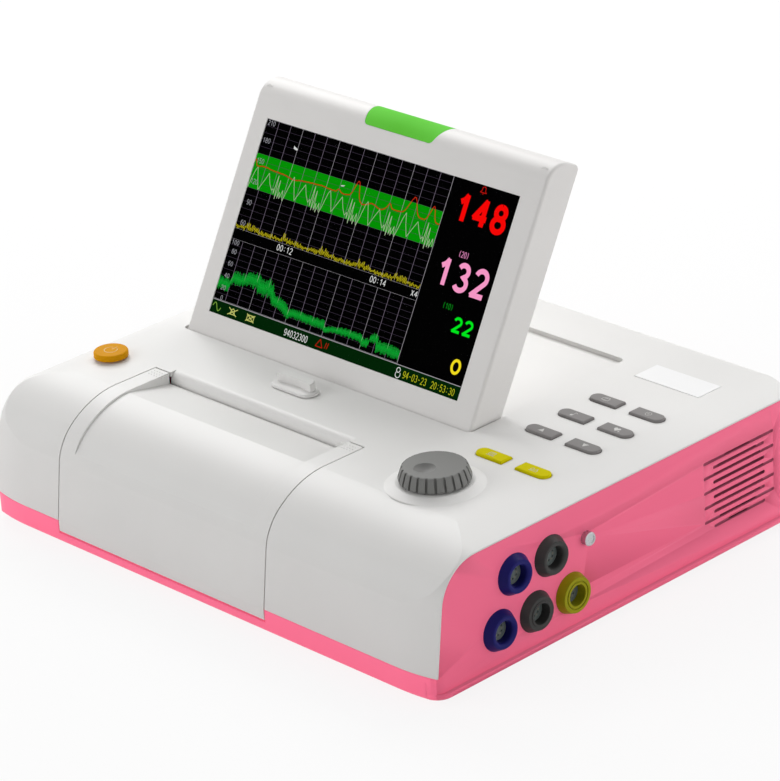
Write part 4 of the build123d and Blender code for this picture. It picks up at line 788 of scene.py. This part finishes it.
def filled_shape(name, outline):
    """A closed outline in millimetres, filled and a little thick."""
    run = [(x, y, 0) for x, y in outline]
    return curve_mesh(name, [run], closed=True, dimensions="2D", fill_mode="BOTH", extrude=0.5 * mm)


def arc(x, y, wide, high, start, end, steps=14):
    """Points on part of an ellipse, from one angle to another in degrees."""
    angles = [radians(start + (end - start) * i / steps) for i in range(steps + 1)]
    return [(x + wide * cos(a), y + high * sin(a)) for a in angles]


def circle(radius, center=(0, 0), start=0.0, end=360.0, steps=24):
    """Points on a circle, or on a part of it."""
    return arc(*center, radius, radius, start, end, steps)


# Each figure is drawn with strokes in a cell one unit high, from -0.5 to 0.5 across.
figures = {
    "0": [arc(0, 0.5, 0.5, 0.5, 90, 450, 24)],
    "1": [[(-0.36, 0.74), (-0.08, 0.84), (0.12, 1.0), (0.12, 0.0)]],
    "2": [arc(0, 0.72, 0.47, 0.28, 165, -38) + [(-0.5, 0.0), (0.5, 0.0)]],
    "3": [arc(-0.02, 0.76, 0.42, 0.24, 155, -90, 16) + arc(-0.02, 0.26, 0.5, 0.26, 90, -155, 16)],
    "4": [[(0.24, 0.0), (0.24, 1.0), (-0.54, 0.32), (0.56, 0.32)]],
    "5": [[(0.42, 1.0), (-0.32, 1.0), (-0.4, 0.54)] + arc(-0.02, 0.31, 0.5, 0.31, 130, -150)],
    "6": [arc(0.06, 0.62, 0.56, 0.38, 50, 190), arc(0, 0.31, 0.5, 0.31, 90, 450, 20)],
    "8": [arc(0, 0.76, 0.42, 0.24, 90, 450, 20), arc(0, 0.27, 0.5, 0.27, 90, 450, 20)],
    "9": [arc(-0.06, 0.38, 0.56, 0.38, 230, 370), arc(0, 0.69, 0.5, 0.31, 90, 450, 20)],
    "x": [[(-0.45, 0.0), (0.45, 1.0)], [(-0.45, 1.0), (0.45, 0.0)]],
    "-": [[(-0.35, 0.5), (0.35, 0.5)]],
    ":": [[(0, 0.16), (0, 0.3)], [(0, 0.7), (0, 0.84)]],
    "(": [arc(0.5, 0.5, 0.5, 0.62, 120, 240, 8)],
    ")": [arc(-0.5, 0.5, 0.5, 0.62, 60, -60, 8)],
}


figure_share = 0.84  # of its cell's width


def digits(text, left, right, top, bottom, stroke):
    """A row of figures in equal cells between two edges and two levels, all in millimetres."""
    cell = (right - left) / len(text)
    wide, high = figure_share * cell - stroke, bottom - top - stroke
    rows = []
    for number, sign in enumerate(text):
        middle = left + (number + 0.5) * cell
        for points in figures[sign]:
            placed = [(middle + x * wide, y * high - bottom + stroke / 2) for x, y in points]
            rows.append(drawn_line("stroke", placed, stroke))
    return joined("figures", rows)


def lay(piece, onto, finish, body, low, thickness):
    """Flattens a drawn piece to a thickness, lays it on a plane and lets it ride on a body."""
    heights = [v.co.z for v in piece.data.vertices]
    flat = Matrix.Diagonal((1, 1, thickness * mm / (max(heights) - min(heights)), 1))
    lift = Matrix.Translation((0, 0, low * mm))
    ground = Matrix.Translation((0, 0, -min(heights)))
    piece.data.transform(onto @ lift @ flat @ ground)
    paint(piece, finish.material)
    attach(piece, body)


display_frame = Matrix.Translation(display_corner) @ display_turn
layer_count, layer_filled = 6, 0.6
layer = gap / layer_count
grid_layer, column_layer, mark_layer, trace_layer, front_layer, figure_layer = 0.2, 1.0, 1.8, 2.8, 3.8, 4.8


def show(piece, finish, level):
    """Lays a piece of the picture in its layer between panel and glass."""
    lay(piece, display_frame, finish, "screen", layer * level, layer * layer_filled)


print("layers of", round(layer, 3), "mm")

# %% Chart grids
def apply_place(piece):
    """Writes a piece's place, turn and size into its mesh."""
    select_only(piece)
    bpy.ops.object.transform_apply(location=True, rotation=True, scale=True)


def chart_grid(name, columns, rows, top, height, line):
    """A grid of lines over the whole chart, from its top edge down."""
    bpy.ops.object.select_all(action="DESELECT")
    bpy.ops.mesh.primitive_grid_add(x_subdivisions=columns, y_subdivisions=rows, size=1)
    grid = bpy.context.object
    grid.scale = (chart_right * mm, height * mm, 1)
    grid.location = (chart_right / 2 * mm, -(top + height / 2) * mm, 0)
    apply_place(grid)
    wires = grid.modifiers.new("lines", "WIREFRAME")
    wires.thickness = line * mm
    wires.use_even_offset = False
    wires.use_relative_offset = False
    bpy.ops.object.modifier_apply(modifier=wires.name)
    grid.name = name
    return grid


grid_line, column_line, bar_line = 0.24, 0.26, 0.36


def upright_line(across, top, bottom):
    """A thin line down the display, from one level to another."""
    return drawn_line("line", [(across, -top), (across, -bottom)], column_line)


dim_lines = lit("dim_lines", srgb(60, 52, 66))
column_lines = lit("column_lines", srgb(116, 106, 122))
pale_lines = lit("pale_lines", srgb(164, 160, 166))
mark_pitch = 3  # every third column has a pale line
charts = (  # name, top, rows, height, width of the pale lines
    ("rate", upper_top, upper_rows, upper_height, 0.3),
    ("activity", lower_top, lower_rows, lower_height, 0.28),
)
for chart, top, rows, height, mark_width in charts:
    grid = chart_grid(f"{chart}_chart_grid", chart_columns, rows, top, height, grid_line)
    show(grid, dim_lines, grid_layer)
    lines = [upright_line(i * column, top, top + height) for i in range(1, chart_columns) if i % mark_pitch]
    show(joined(f"{chart}_chart_columns", lines), column_lines, column_layer)
    marks = chart_grid(f"{chart}_chart_marks", chart_columns // mark_pitch, 1, top, height, mark_width)
    show(marks, pale_lines, mark_layer)
bar_inset = 0.2
number_edge = upright_line(chart_right, upper_top, bar_top)
bar_edge = drawn_line("line", [(bar_inset, -bar_top), (display_width - bar_inset, -bar_top)], bar_line)
show(joined("display_edges", [number_edge, bar_edge]), pale_lines, mark_layer)
print("chart columns are", round(column, 2), "mm wide")

# %% [markdown]
# ## Traces
#
# The upper chart shows two heart rates. The first wanders about its resting rate, and each
# acceleration is a smooth bump added to it, so its trace is a short list of bumps and not a
# list of measured points. The second swings in one pattern that repeats. Movements fill the
# foot of that chart with a restless line, and the lower chart shows the strength of
# contractions as a dense band between two edges.

# %% Heart rates, movements and contractions
chance = random.Random(7)
first_rate_line, second_rate_line, restless_line = 0.5, 0.34, 0.24
steps_per_column, movements_per_column, swings_per_column = 24, 18, 30
top_rate, resting_rate, beats_per_row = 210, 142, 10
bumps = (  # where, in columns, how many beats, and how wide
    (0.1, 9, 0.12), (1.0, 2, 0.5), (3.4, -3, 0.6), (5.6, 1.5, 0.6), (7.0, 4, 0.14), (8.33, 23, 0.26),
    (9.1, -6, 0.45), (11.05, 7, 0.16), (10.4, -5, 0.4), (12.74, 25, 0.38), (14.28, 21, 0.24),
)


def rate_level(beats):
    """How far up the upper chart a heart rate lies: one row is ten beats."""
    return -(upper_top + (top_rate - beats) / beats_per_row * upper_row)


def first_rate(at):
    """The first heart rate, beats a minute, at a place in columns."""
    return resting_rate + sum(rise * exp(-(((at - where) / wide) ** 2)) for where, rise, wide in bumps)


def activity_level(strength):
    """How far up the lower chart a strength of 0 to 100 lies."""
    return -(lower_bottom - strength / 10 * lower_row)


red_points = []
for i in range(chart_columns * steps_per_column + 1):
    at = i / steps_per_column
    red_points.append((at * column, rate_level(first_rate(at) + chance.uniform(-0.5, 0.5))))
first_trace = drawn_line("first_rate_trace", red_points, first_rate_line)
show(first_trace, lit("trace_red", srgb(184, 40, 16)), trace_layer)

swing_period = 3
swing = (  # one period: place in columns, beats
    (0.0, 106), (0.12, 118), (0.3, 137), (0.42, 142), (0.62, 129), (0.9, 112), (1.2, 126), (1.43, 138),
    (1.7, 124), (1.96, 115), (2.08, 119), (2.16, 112), (2.22, 139), (2.35, 106), (2.45, 134), (2.54, 108),
    (2.62, 118), (2.7, 107), (2.84, 120), (2.93, 110),
)
pale_points = []
for period in range(chart_columns // swing_period):
    for at, beats in swing:
        place = (swing_period * period + at) * column
        pale_points.append((place, rate_level(beats + chance.uniform(-1.5, 1.5))))
second_trace = drawn_line("second_rate_trace", pale_points, second_rate_line)
show(second_trace, lit("trace_pale", srgb(166, 190, 150)), front_layer)

first_burst, burst_period = 0.85, 3
movement_points = []
for i in range(chart_columns * movements_per_column):
    at = i / movements_per_column
    since = (at - first_burst) % burst_period
    burst = 9 * exp(-((since / 0.3) ** 2)) + 6 * exp(-(((since - 0.6) / 0.5) ** 2))
    if i % 2:
        beats = 52 + chance.uniform(0.4, 1.0) * (6 + 0.8 * burst)
    else:
        beats = 50 + chance.uniform(0, 3.5) + burst * 0.2
    movement_points.append((at * column, rate_level(beats)))
movement_trace = drawn_line("movement_trace", movement_points, restless_line)
show(movement_trace, lit("trace_yellow", srgb(196, 184, 24)), trace_layer)

strengths = (  # place in columns, strength, half the band's height
    (0, 27, 7), (0.9, 26, 8), (1.1, 40, 8), (1.9, 41, 7), (2.4, 47, 8), (3.1, 48, 9), (3.3, 40, 9),
    (4.0, 43, 10), (4.3, 40, 8), (4.6, 28, 7), (5.6, 23, 7), (5.95, 15, 6), (6.4, 19, 5), (7.2, 17, 5),
    (8.9, 17, 6), (9.0, 11, 3), (10.1, 17, 4), (11.9, 18, 5), (12.05, 12, 5), (12.5, 14, 5), (12.6, 24, 5),
    (13.1, 24, 6), (13.2, 14, 7), (15.0, 14, 6),
)


def between_steps(steps, at):
    """The values at a place between the listed places."""
    for (low, *first), (high, *second) in zip(steps, steps[1:]):
        if low <= at <= high:
            share = (at - low) / (high - low)
            return [a + (b - a) * share for a, b in zip(first, second)]
    return steps[-1][1:]


band_points = []
for i in range(chart_columns * swings_per_column):
    at = i / swings_per_column
    strength, spread = between_steps(strengths, at)
    side = 1 if i % 2 else -1
    reached = strength + side * spread * chance.uniform(0.9, 1.6)
    band_points.append((at * column, activity_level(reached)))
contraction_trace = drawn_line("contraction_trace", band_points, restless_line)
show(contraction_trace, lit("trace_green", srgb(14, 170, 50)), trace_layer)
print(len(red_points) + len(pale_points) + len(movement_points) + len(band_points), "points in the traces")

# %% [markdown]
# ## Figures and small marks
#
# Every figure is a few strokes in a cell, so one list serves the large values and the small
# clock. The foot of the display has small plain marks: a wave, a crossed bell, a crossed box, a
# warning triangle and a handset.

# %% Numbers on the display
axis_edge, axis_pitch, axis_stroke = 6.7, 1.85, 0.3
rate_half_height, strength_half_height = 1.35, 1.25
inward = {top_rate: 1.7, 0: -1.2, 100: 1.7}  # keeps the outermost numbers inside their chart


def axis_number(value, middle, half_height):
    """A number on a chart. All of them end at one line, however many figures they have."""
    text = str(value)
    left = axis_edge - axis_pitch * len(text)
    return digits(text, left, axis_edge, middle - half_height, middle + half_height, axis_stroke)


axis_numbers = []
for beats in range(60, top_rate + 1, 30):
    middle = -rate_level(beats) + inward.get(beats, 0)
    axis_numbers.append(axis_number(beats, middle, rate_half_height))
for strength in range(0, 101, 20):
    middle = -activity_level(strength) + inward.get(strength, 0)
    axis_numbers.append(axis_number(strength, middle, strength_half_height))
show(joined("axis_numbers", axis_numbers), lit("grey_dots", srgb(150, 150, 156)), figure_layer)

white_dots = lit("white_dots", srgb(226, 228, 226))
pink_dots = lit("pink_dots", srgb(255, 158, 206))
green_dots = lit("green_dots", srgb(0, 238, 30))
yellow_dots = lit("yellow_dots", srgb(250, 228, 32))
red_dots = lit("red_dots", srgb(255, 8, 6))
dark_red_dots = lit("dark_red_dots", srgb(184, 20, 12))
values = (  # name, figures, left, right, top, bottom, stroke, colour
    ("first_rate_value", "148", 138.0, 173.9, 6.1, 21.1, 2.9, red_dots),
    ("second_rate_value", "132", 138.3, 174.2, 37.9, 52.7, 2.6, pink_dots),
    ("contraction_value", "22", 158.6, 172.9, 63.4, 71.2, 1.4, green_dots),
    ("movement_value", "0", 165.1, 172.9, 82.4, 90.1, 1.5, yellow_dots),
)
for name, text, left, right, top, bottom, stroke_width, finish in values:
    row = digits(text, left, right, top, bottom, stroke_width)
    row.name = name
    show(row, finish, figure_layer)

small_stroke = 0.36
small_rows = {  # name: colour, then figures, left, right, top, bottom
    "time_marks": (white_dots, [
        ("00:12", 32.4, 43.9, 58.0, 61.3), ("00:14", 99.0, 110.3, 58.0, 61.3),
        ("x4", 127.4, 132.2, 58.2, 61.2),
    ]),
    "record_number": (white_dots, [("94032300", 54.2, 71.2, 96.4, 100.0)]),
    "clock_figures": (lit("olive_dots", srgb(182, 184, 30)), [
        ("94-03-23", 138.0, 154.2, 96.3, 99.9), ("20:53:30", 157.0, 173.1, 96.3, 99.9),
    ]),
    "pink_count": (lit("dim_pink_dots", srgb(214, 132, 180)), [("(20)", 149.5, 156.7, 33.0, 36.2)]),
    "green_count": (lit("dim_green_dots", srgb(6, 134, 24)), [("(10)", 149.3, 156.7, 58.7, 61.7)]),
}
for name, (finish, rows) in small_rows.items():
    pieces = [digits(*row, small_stroke) for row in rows]
    show(joined(name, pieces), finish, figure_layer)
print("figures drawn")

# %% Small marks on the display
def thin_lines(paths, width):
    """Each path as a thin line of its own."""
    return [drawn_line("mark", points, width) for points in paths]


def box_path(width, height, x=0.0, y=0.0):
    """The four sides of an upright box, as one closed path."""
    left, right, low, high = x - width / 2, x + width / 2, y - height / 2, y + height / 2
    return [(left, low), (right, low), (right, high), (left, high), (left, low)]


def crossed_bell(x, y, wide, high):
    """A bell with a cross over it."""
    side = [(-0.6, -0.7), (-0.4, -0.2), (-0.35, 0.5), (0, 0.9)]
    bell = side + [(-u, v) for u, v in side[-2::-1]] + side[:1]
    arms = [[(-1, -1), (1, 1)], [(-1, 1), (1, -1)]]
    return [[(x + u * wide, y + v * high) for u, v in points] for points in (bell, *arms)]


def crossed_box(x, y, wide, high):
    """A low box with a cross over it."""
    rising = [(x - wide, y - high), (x + wide, y + high)]
    falling = [(x - wide, y + high), (x + wide, y - high)]
    return [box_path(1.6 * wide, 1.5 * high, x, y), rising, falling]


bar_middle = -(bar_top + display_height) / 2
wave_line, muted_line, warning_line, handset_line = 0.5, 0.48, 0.42, 0.4
wave_at, wave_half, wave_high = 4.4, 3.0, 1.9
wave = [(wave_at + wave_half * t / 10, bar_middle - wave_high * sin(pi * t / 10)) for t in range(-10, 11)]
show(drawn_line("wave_mark", wave, wave_line), lit("green_marks", srgb(120, 164, 60)), figure_layer)
muted_paths = crossed_bell(16.2, bar_middle, 3.2, 1.8) + crossed_box(29.3, bar_middle, 3.0, 1.8)
muted_marks = joined("muted_marks", thin_lines(muted_paths, muted_line))
show(muted_marks, lit("olive_marks", srgb(196, 200, 110)), figure_layer)

triangle_foot, triangle_top = bar_middle - 1.7, bar_middle + 2.1
triangle = [(77.2, triangle_foot), (82.0, triangle_foot), (79.6, triangle_top), (77.2, triangle_foot)]
bell = [
    (151.2, -3.6), (152.0, -2.8), (152.2, -1.2), (153.2, -0.6),
    (154.2, -1.2), (154.4, -2.8), (155.2, -3.6), (151.2, -3.6),
]
clapper = [(153.2, -3.6), (153.2, -4.6)]
slashes = [[(x, bar_middle - 1.5), (x + 0.6, bar_middle + 1.5)] for x in (83.6, 85.0)]
warning_marks = joined("warning_marks", thin_lines((triangle, bell, clapper, *slashes), warning_line))
show(warning_marks, dark_red_dots, figure_layer)
event_marks = [
    filled_shape("mark", [(23.6, -9.2), (24.4, -9.6), (26.8, -10.4), (26.4, -11.2), (23.8, -10.8)]),
    filled_shape("mark", [(62.2, -20.8), (65.2, -20.3), (64.0, -21.1), (62.6, -21.3)]),
]
show(joined("event_marks", event_marks), lit("pale_dots", srgb(214, 216, 214)), figure_layer)
earpiece = circle(1.2, (134.6, bar_middle + 1.0), 0, 360, 12)
mouthpiece = circle(1.6, (134.9, bar_middle - 1.2), 140, 400, 10)
handset_mark = joined("handset_mark", thin_lines((earpiece, mouthpiece), handset_line))
show(handset_mark, white_dots, figure_layer)
drawn = [o for o in scene.objects if o.get("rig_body") == "screen" and o.name not in nodes]
print("the display has", len(drawn), "drawn pieces")

# %% [markdown]
# ## Control knob
#
# The knob's side leans inward to a narrow rounded rim, and its grip grooves run up over that
# rim. The solid has a plainer form, so a knob that is made here replaces it. A profile is turned
# about the axis with a Screw modifier, and Boolean modifiers cut the grooves and the finger
# dimple.

# %% Helpers for turned and cut pieces
merge_distance = 0.001 * mm
sharp_edge = radians(30)


def cut(piece, cutter):
    """Takes one mesh away from another."""
    modifier = piece.modifiers.new("cut", "BOOLEAN")
    modifier.operation = "DIFFERENCE"
    modifier.solver = "EXACT"
    modifier.object = cutter
    select_only(piece)
    bpy.ops.object.modifier_apply(modifier=modifier.name)
    bpy.data.objects.remove(cutter)


def mend(piece, merge=True, outward=True):
    """Merges a piece's doubled points and turns its faces outward."""
    select_only(piece)
    bpy.ops.object.mode_set(mode="EDIT")
    bpy.ops.mesh.select_all(action="SELECT")
    if merge:
        bpy.ops.mesh.remove_doubles(threshold=merge_distance)
    if outward:
        bpy.ops.mesh.normals_make_consistent(inside=False)
    bpy.ops.object.mode_set(mode="OBJECT")


def turned(name, profile, steps=96):
    """A closed profile of (radius, height) in millimetres, turned about the vertical axis."""
    run = [(radius, 0, height) for radius, height in profile]
    piece = curve_mesh(name, [run], dimensions="3D")
    screw = piece.modifiers.new("turn", "SCREW")
    screw.steps = steps
    screw.render_steps = steps
    screw.use_merge_vertices = True
    screw.merge_threshold = merge_distance
    screw.use_normal_calculate = True
    select_only(piece)
    bpy.ops.object.modifier_apply(modifier=screw.name)
    mend(piece, merge=False)
    return piece


def copied(piece):
    """A copy of a piece, with a mesh of its own."""
    twin = piece.copy()
    twin.data = piece.data.copy()
    scene.collection.objects.link(twin)
    return twin


def repeated(piece, moves):
    """A copy of a piece for each move. The pattern piece itself goes."""
    copies = []
    for move in moves:
        copies.append(copied(piece))
        copies[-1].data.transform(move)
    bpy.data.objects.remove(piece)
    return copies


def smooth_by_angle(piece):
    """Smooth shading, but for the sharp edges."""
    select_only(piece)
    bpy.ops.object.shade_smooth_by_angle(angle=sharp_edge)


print("sharp edges are over", round(sharp_edge / radians(1)), "degrees")

# %% Knob
knob_low, knob_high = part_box("control_knob")
knob_center = center_of("control_knob")
knob_tall = (knob_high.z - knob_low.z) / mm
foot_radius, rim_radius, rim_round = 17.2, 15.8, 1.5
side_foot, foot_chamfer_height, foot_chamfer = 1.6, 1.1, 0.35
cavity_radius, roof, hub_radius, hub_foot, bore_radius = 14.2, 4.6, 5.5, 0.7, 3.05
round_center = rim_radius - rim_round, knob_tall - rim_round
rim_angles = [radians(angle) for angle in range(0, 79, 13)]
rim_arc = [(round_center[0] + rim_round * sin(a), round_center[1] + rim_round * cos(a)) for a in rim_angles]
knob_profile = [(0, knob_tall), *rim_arc, (foot_radius, side_foot), (foot_radius, foot_chamfer_height)]
knob_profile += [(foot_radius - foot_chamfer, 0), (cavity_radius, 0), (cavity_radius, roof)]
knob_profile += [(hub_radius, roof), (hub_radius, hub_foot), (bore_radius, hub_foot), (bore_radius, roof)]
knob_profile += [(0, roof)]
knob = turned("turned_knob", knob_profile)
print("knob turned,", round(knob_tall, 1), "mm tall")

# %% Grooves and dimple of the knob
groove_count, groove_width, groove_depth, groove_start = 24, 1.15, 0.95, 1.5
cutter_thick, cutter_tall = 2.0, 12
lean = atan2(foot_radius - rim_radius, knob_tall - rim_round)
middle_radius = (foot_radius + rim_radius) / 2
bpy.ops.object.select_all(action="DESELECT")
bpy.ops.mesh.primitive_cube_add(size=1)
cutter = bpy.context.object
cutter_steps = (
    Matrix.Diagonal((cutter_thick * mm, groove_width * mm, cutter_tall * mm, 1)),
    Matrix.Translation(((cutter_thick / 2 - groove_depth) * mm, 0, 0)),
    Matrix.Rotation(-lean, 4, "Y"),
    Matrix.Translation((middle_radius * mm, 0, knob_tall / 2 * mm)),
)
for move in cutter_steps:
    cutter.data.transform(move)
groove_turns = [radians(groove_start + 360 / groove_count * number) for number in range(groove_count)]
groove_cutters = repeated(cutter, [Matrix.Rotation(angle, 4, "Z") for angle in groove_turns])
cut(knob, joined("groove_cutters", groove_cutters))

dimple_at, dimple_radius, dimple_depth = (-1.0, -5.2), 5.2, 2.1
ball_radius = (dimple_radius**2 + dimple_depth**2) / (2 * dimple_depth)
ball_height = knob_tall + ball_radius - dimple_depth
ball_place = (dimple_at[0] * mm, dimple_at[1] * mm, ball_height * mm)
bpy.ops.object.select_all(action="DESELECT")
bpy.ops.mesh.primitive_uv_sphere_add(segments=64, ring_count=48, radius=ball_radius * mm, location=ball_place)
cut(knob, bpy.context.object)
knob.data.transform(Matrix.Translation((knob_center.x, knob_center.y, knob_low.z)))
smooth_by_angle(knob)
paint(knob, nodes["control_knob"].material_slots[0].material)
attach(knob, "knob")
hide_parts("control_knob")
print("knob has", len(knob.data.polygons), "faces")

# %% [markdown]
# ## Rounded front corner
#
# The lower housing's front right corner is rounded in plan by about 9 mm, with a softened foot.
# The solid is copied and merged, and what lies outside a turned post is cut away, first at the
# lip and then at the panel above it.

# %% Corner
quarter_lean = radians(10)  # keeps the front edge of a quarter clear of the curved front
quarter_margin, post_margin = 8, 1


def outside_post(axis_x, axis_y, radius, low, high, post_foot, foot_round):
    """The part of a front corner's quarter that lies outside an upright post."""
    far = radius + quarter_margin
    leaning = far * sin(quarter_lean), -far * cos(quarter_lean)
    outline = [(axis_x + x, axis_y + y) for x, y in ((0, 0), leaning, (far, -far), (far, 0))]
    quarter = filled_shape("quarter", outline)
    mend(quarter)
    for vertex in quarter.data.vertices:
        vertex.co.z = (high if vertex.co.z > 0 else low) * mm
    turns = [radians(angle) for angle in (range(0, 91, 15) if foot_round else (90,))]
    foot = [(radius - foot_round * (1 - sin(a)), post_foot + foot_round * (1 - cos(a))) for a in turns]
    post_top = high + post_margin
    post = turned("post", [(0, post_foot), *foot, (radius, post_top), (0, post_top)])
    post.data.transform(Matrix.Translation((axis_x * mm, axis_y * mm, 0)))
    cut(quarter, post)
    return quarter


lower_shell = copied(nodes["bottom_housing"])
lower_shell.name = "rounded_bottom_housing"
mend(lower_shell, outward=False)
base_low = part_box("bottom_housing")[0].z / mm
lip_top, overlap, panel_top = 6.4, 0.02, 14.75
corner_cuts = (  # the post's axis and radius, the quarter's foot and top, the post's foot and its rounding
    (147.2, -115.93, 9.3, base_low - post_margin, lip_top + overlap, base_low, 2.8),
    (147.6, -118.2, 7.0, lip_top - overlap, panel_top, lip_top - post_margin, 0.0),
)
for corner_cut in corner_cuts:
    cut(lower_shell, outside_post(*corner_cut))
smooth_by_angle(lower_shell)
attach(lower_shell, "base")
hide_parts("bottom_housing")
print("lower shell has", len(lower_shell.data.polygons), "faces")

# %% [markdown]
# ## Contact inserts
#
# Deep in each collar sits a grey insert that holds the contacts. It is a turned disc with a
# raised rim, and the contact holes are cut through its face. One insert is made, and a copy of
# it is stood up in each collar.

# %% Inserts
insert_radius, insert_thick, face_sunk, insert_sunk = 5.15, 1.3, 0.25, 1.15
rim_foot, rim_edge, rim_chamfer = insert_radius - 0.9, insert_radius - 0.7, 0.1
contact_count, contact_ring, contact_radius, contact_depth = 6, 2.7, 0.5, 1.6
insert_face = insert_thick - face_sunk
insert_profile = [(0, insert_face), (rim_foot, insert_face), (rim_edge, insert_thick)]
insert_profile += [(insert_radius - rim_chamfer, insert_thick), (insert_radius, insert_thick - rim_chamfer)]
insert_profile += [(insert_radius, 0), (0, 0)]
insert = turned("insert", insert_profile, 48)

bpy.ops.object.select_all(action="DESELECT")
bpy.ops.mesh.primitive_cylinder_add(vertices=16, radius=contact_radius * mm, depth=contact_depth * mm)
hole_turns = [radians(360 / contact_count * number) for number in range(contact_count)]
hole_places = [Vector((contact_ring * cos(a), contact_ring * sin(a), insert_thick)) * mm for a in hole_turns]
holes = repeated(bpy.context.object, [Matrix.Translation(place) for place in hole_places])
cut(insert, joined("holes", holes))

collars = (*blue_collars, *grey_collars, "marker_socket")
insert_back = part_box("socket_board")[1].x - insert_sunk * mm
upright = Matrix.Rotation(radians(90), 4, "Y")
collar_middles = [center_of(collar) for collar in collars]
insert_moves = [Matrix.Translation((insert_back, middle.y, middle.z)) @ upright for middle in collar_middles]
contact_inserts = joined("contact_inserts", repeated(insert, insert_moves))
smooth_by_angle(contact_inserts)
contact_grey = moulded("contact_grey", srgb(98, 106, 104), grain=0.25, roughness=0.5, gloss=0.08)
paint(contact_inserts, contact_grey.material)
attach(contact_inserts, "base")
print(len(collars), "inserts")

# %% [markdown]
# ## Printed marks on the keys
#
# The marks are screen printed: a film of pale ink some hundredths of a millimetre thick on the
# flat top of each key. They are drawn as outlines or fine lines, flattened to a film and laid
# on the key, and each rides with its own key.

# %% Key marks
ink_thickness = 0.03
line_width = 0.34


def ink(name, color):
    """Screen-printed ink: slightly uneven and a little broken at its edge."""
    finish = Finish(name)
    patches = finish.noise(finish.place(), 0.25, 3.0)
    finish.set(
        Base_Color=finish.blend(patches, shade(color, 0.86), color),
        Roughness=0.5 + 0.1 * patches, Normal=finish.bump(patches, 0.006),
    )
    return finish


def stroke(*paths):
    """Each path as a printed line of its own."""
    return thin_lines(paths, line_width)


def solid_shape(outline):
    """An outline, filled with ink."""
    return [filled_shape("mark", outline)]


def dash(left, right, y):
    """A level line between two places."""
    return [(left, y), (right, y)]


def top_of(name):
    """The middle of a solid's top, as a plane to print on."""
    low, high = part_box(name)
    return Matrix.Translation(((low.x + high.x) / 2, (low.y + high.y) / 2, high.z))


up_mark = solid_shape([(-1.7, -1.3), (1.7, -1.3), (0, 1.6)])
down_mark = solid_shape([(-1.7, 1.3), (0, -1.6), (1.7, 1.3)])
note_mark = solid_shape(circle(0.75, (-0.9, -1.3))) + stroke([(-0.3, -1.3), (-0.3, 1.6), (1.2, 1.0)])
heart = circle(0.95, (0.95, 0.55), -35, 180, 12) + circle(0.95, (-0.95, 0.55), 0, 215, 12) + [(0, -1.8)]
heart_mark = solid_shape(heart) + stroke(dash(1.6, 3.0, -1.5), [(2.3, -2.1), (2.3, -0.9)])
printer_mark = stroke(box_path(4.2, 1.8, 0, -0.2), box_path(2.4, 1.0, 0, 1.3), dash(-1.2, 1.2, -1.6))
ring_mark = stroke(circle(1.6), dash(-0.7, 0.7, 0), [(0, -0.7), (0, 0.7)])
page_lines = [dash(-1.0, 1.0, 0.5), dash(-1.0, 1.0, -0.3), dash(-2.4, 2.4, -1.8)]
paper_mark = stroke(box_path(3.4, 2.4), *page_lines)
feed_mark = stroke(circle(0.9, (-1.3, 0)), [(0.2, -1.0), (1.2, 1.0), (2.2, -1.0)], dash(-2.4, 2.4, -1.6))
key_marks = {
    "key_1": paper_mark, "key_2": up_mark, "key_3": note_mark, "key_4": printer_mark,
    "key_5": feed_mark, "key_6": down_mark, "key_7": heart_mark, "key_8": ring_mark,
}
key_ink = ink("key_ink", srgb(206, 205, 202))
for key, mark in key_marks.items():
    lay(joined(f"{key}_mark", mark), top_of(key), key_ink, key, 0, ink_thickness)

power_mark = joined("power_mark", stroke(circle(3.3, (0, 0), 118, 422, 28), [(0, 0.8), (0, 4.4)]))
power_ink = ink("power_ink", srgb(250, 232, 178))
lay(power_mark, top_of("power_button"), power_ink, "power", 0, ink_thickness)
print(len(key_marks) + 1, "printed marks")

# %% [markdown]
# ## Grip dots on the door
#
# Each rear corner of the door has a small patch of raised dots for the finger that opens it.
# One dot is modelled as a flattened ball with a few faces, and copies of it are joined to a
# patch on the top of the door.

# %% Grip dots
door_low, door_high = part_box("paper_door")
dot_radius, dot_pitch, dot_flatness = 0.45, 1.9, 0.45
dot_rows, dot_columns = 3, 6
rear_inset, side_inset = 2.4, 10.0


def grip_patch(name, x):
    """Rows of small domes round a place near the rear edge of the door."""
    bpy.ops.object.select_all(action="DESELECT")
    bpy.ops.mesh.primitive_uv_sphere_add(segments=10, ring_count=6, radius=dot_radius * mm)
    dome = bpy.context.object
    dome.scale.z = dot_flatness
    apply_place(dome)
    bpy.ops.object.shade_smooth()
    moves = []
    for i in range(dot_columns):
        for j in range(dot_rows):
            across = x + (i - (dot_columns - 1) / 2) * dot_pitch * mm
            back = door_high.y - (rear_inset + j * dot_pitch) * mm
            moves.append(Matrix.Translation((across, back, door_high.z)))
    patch = joined(name, repeated(dome, moves))
    paint(patch, shell_white.material)
    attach(patch, "door")


grip_patch("grip_dots_left", door_low.x + side_inset * mm)
grip_patch("grip_dots_right", door_high.x - side_inset * mm)
print(2 * dot_rows * dot_columns, "grip dots")
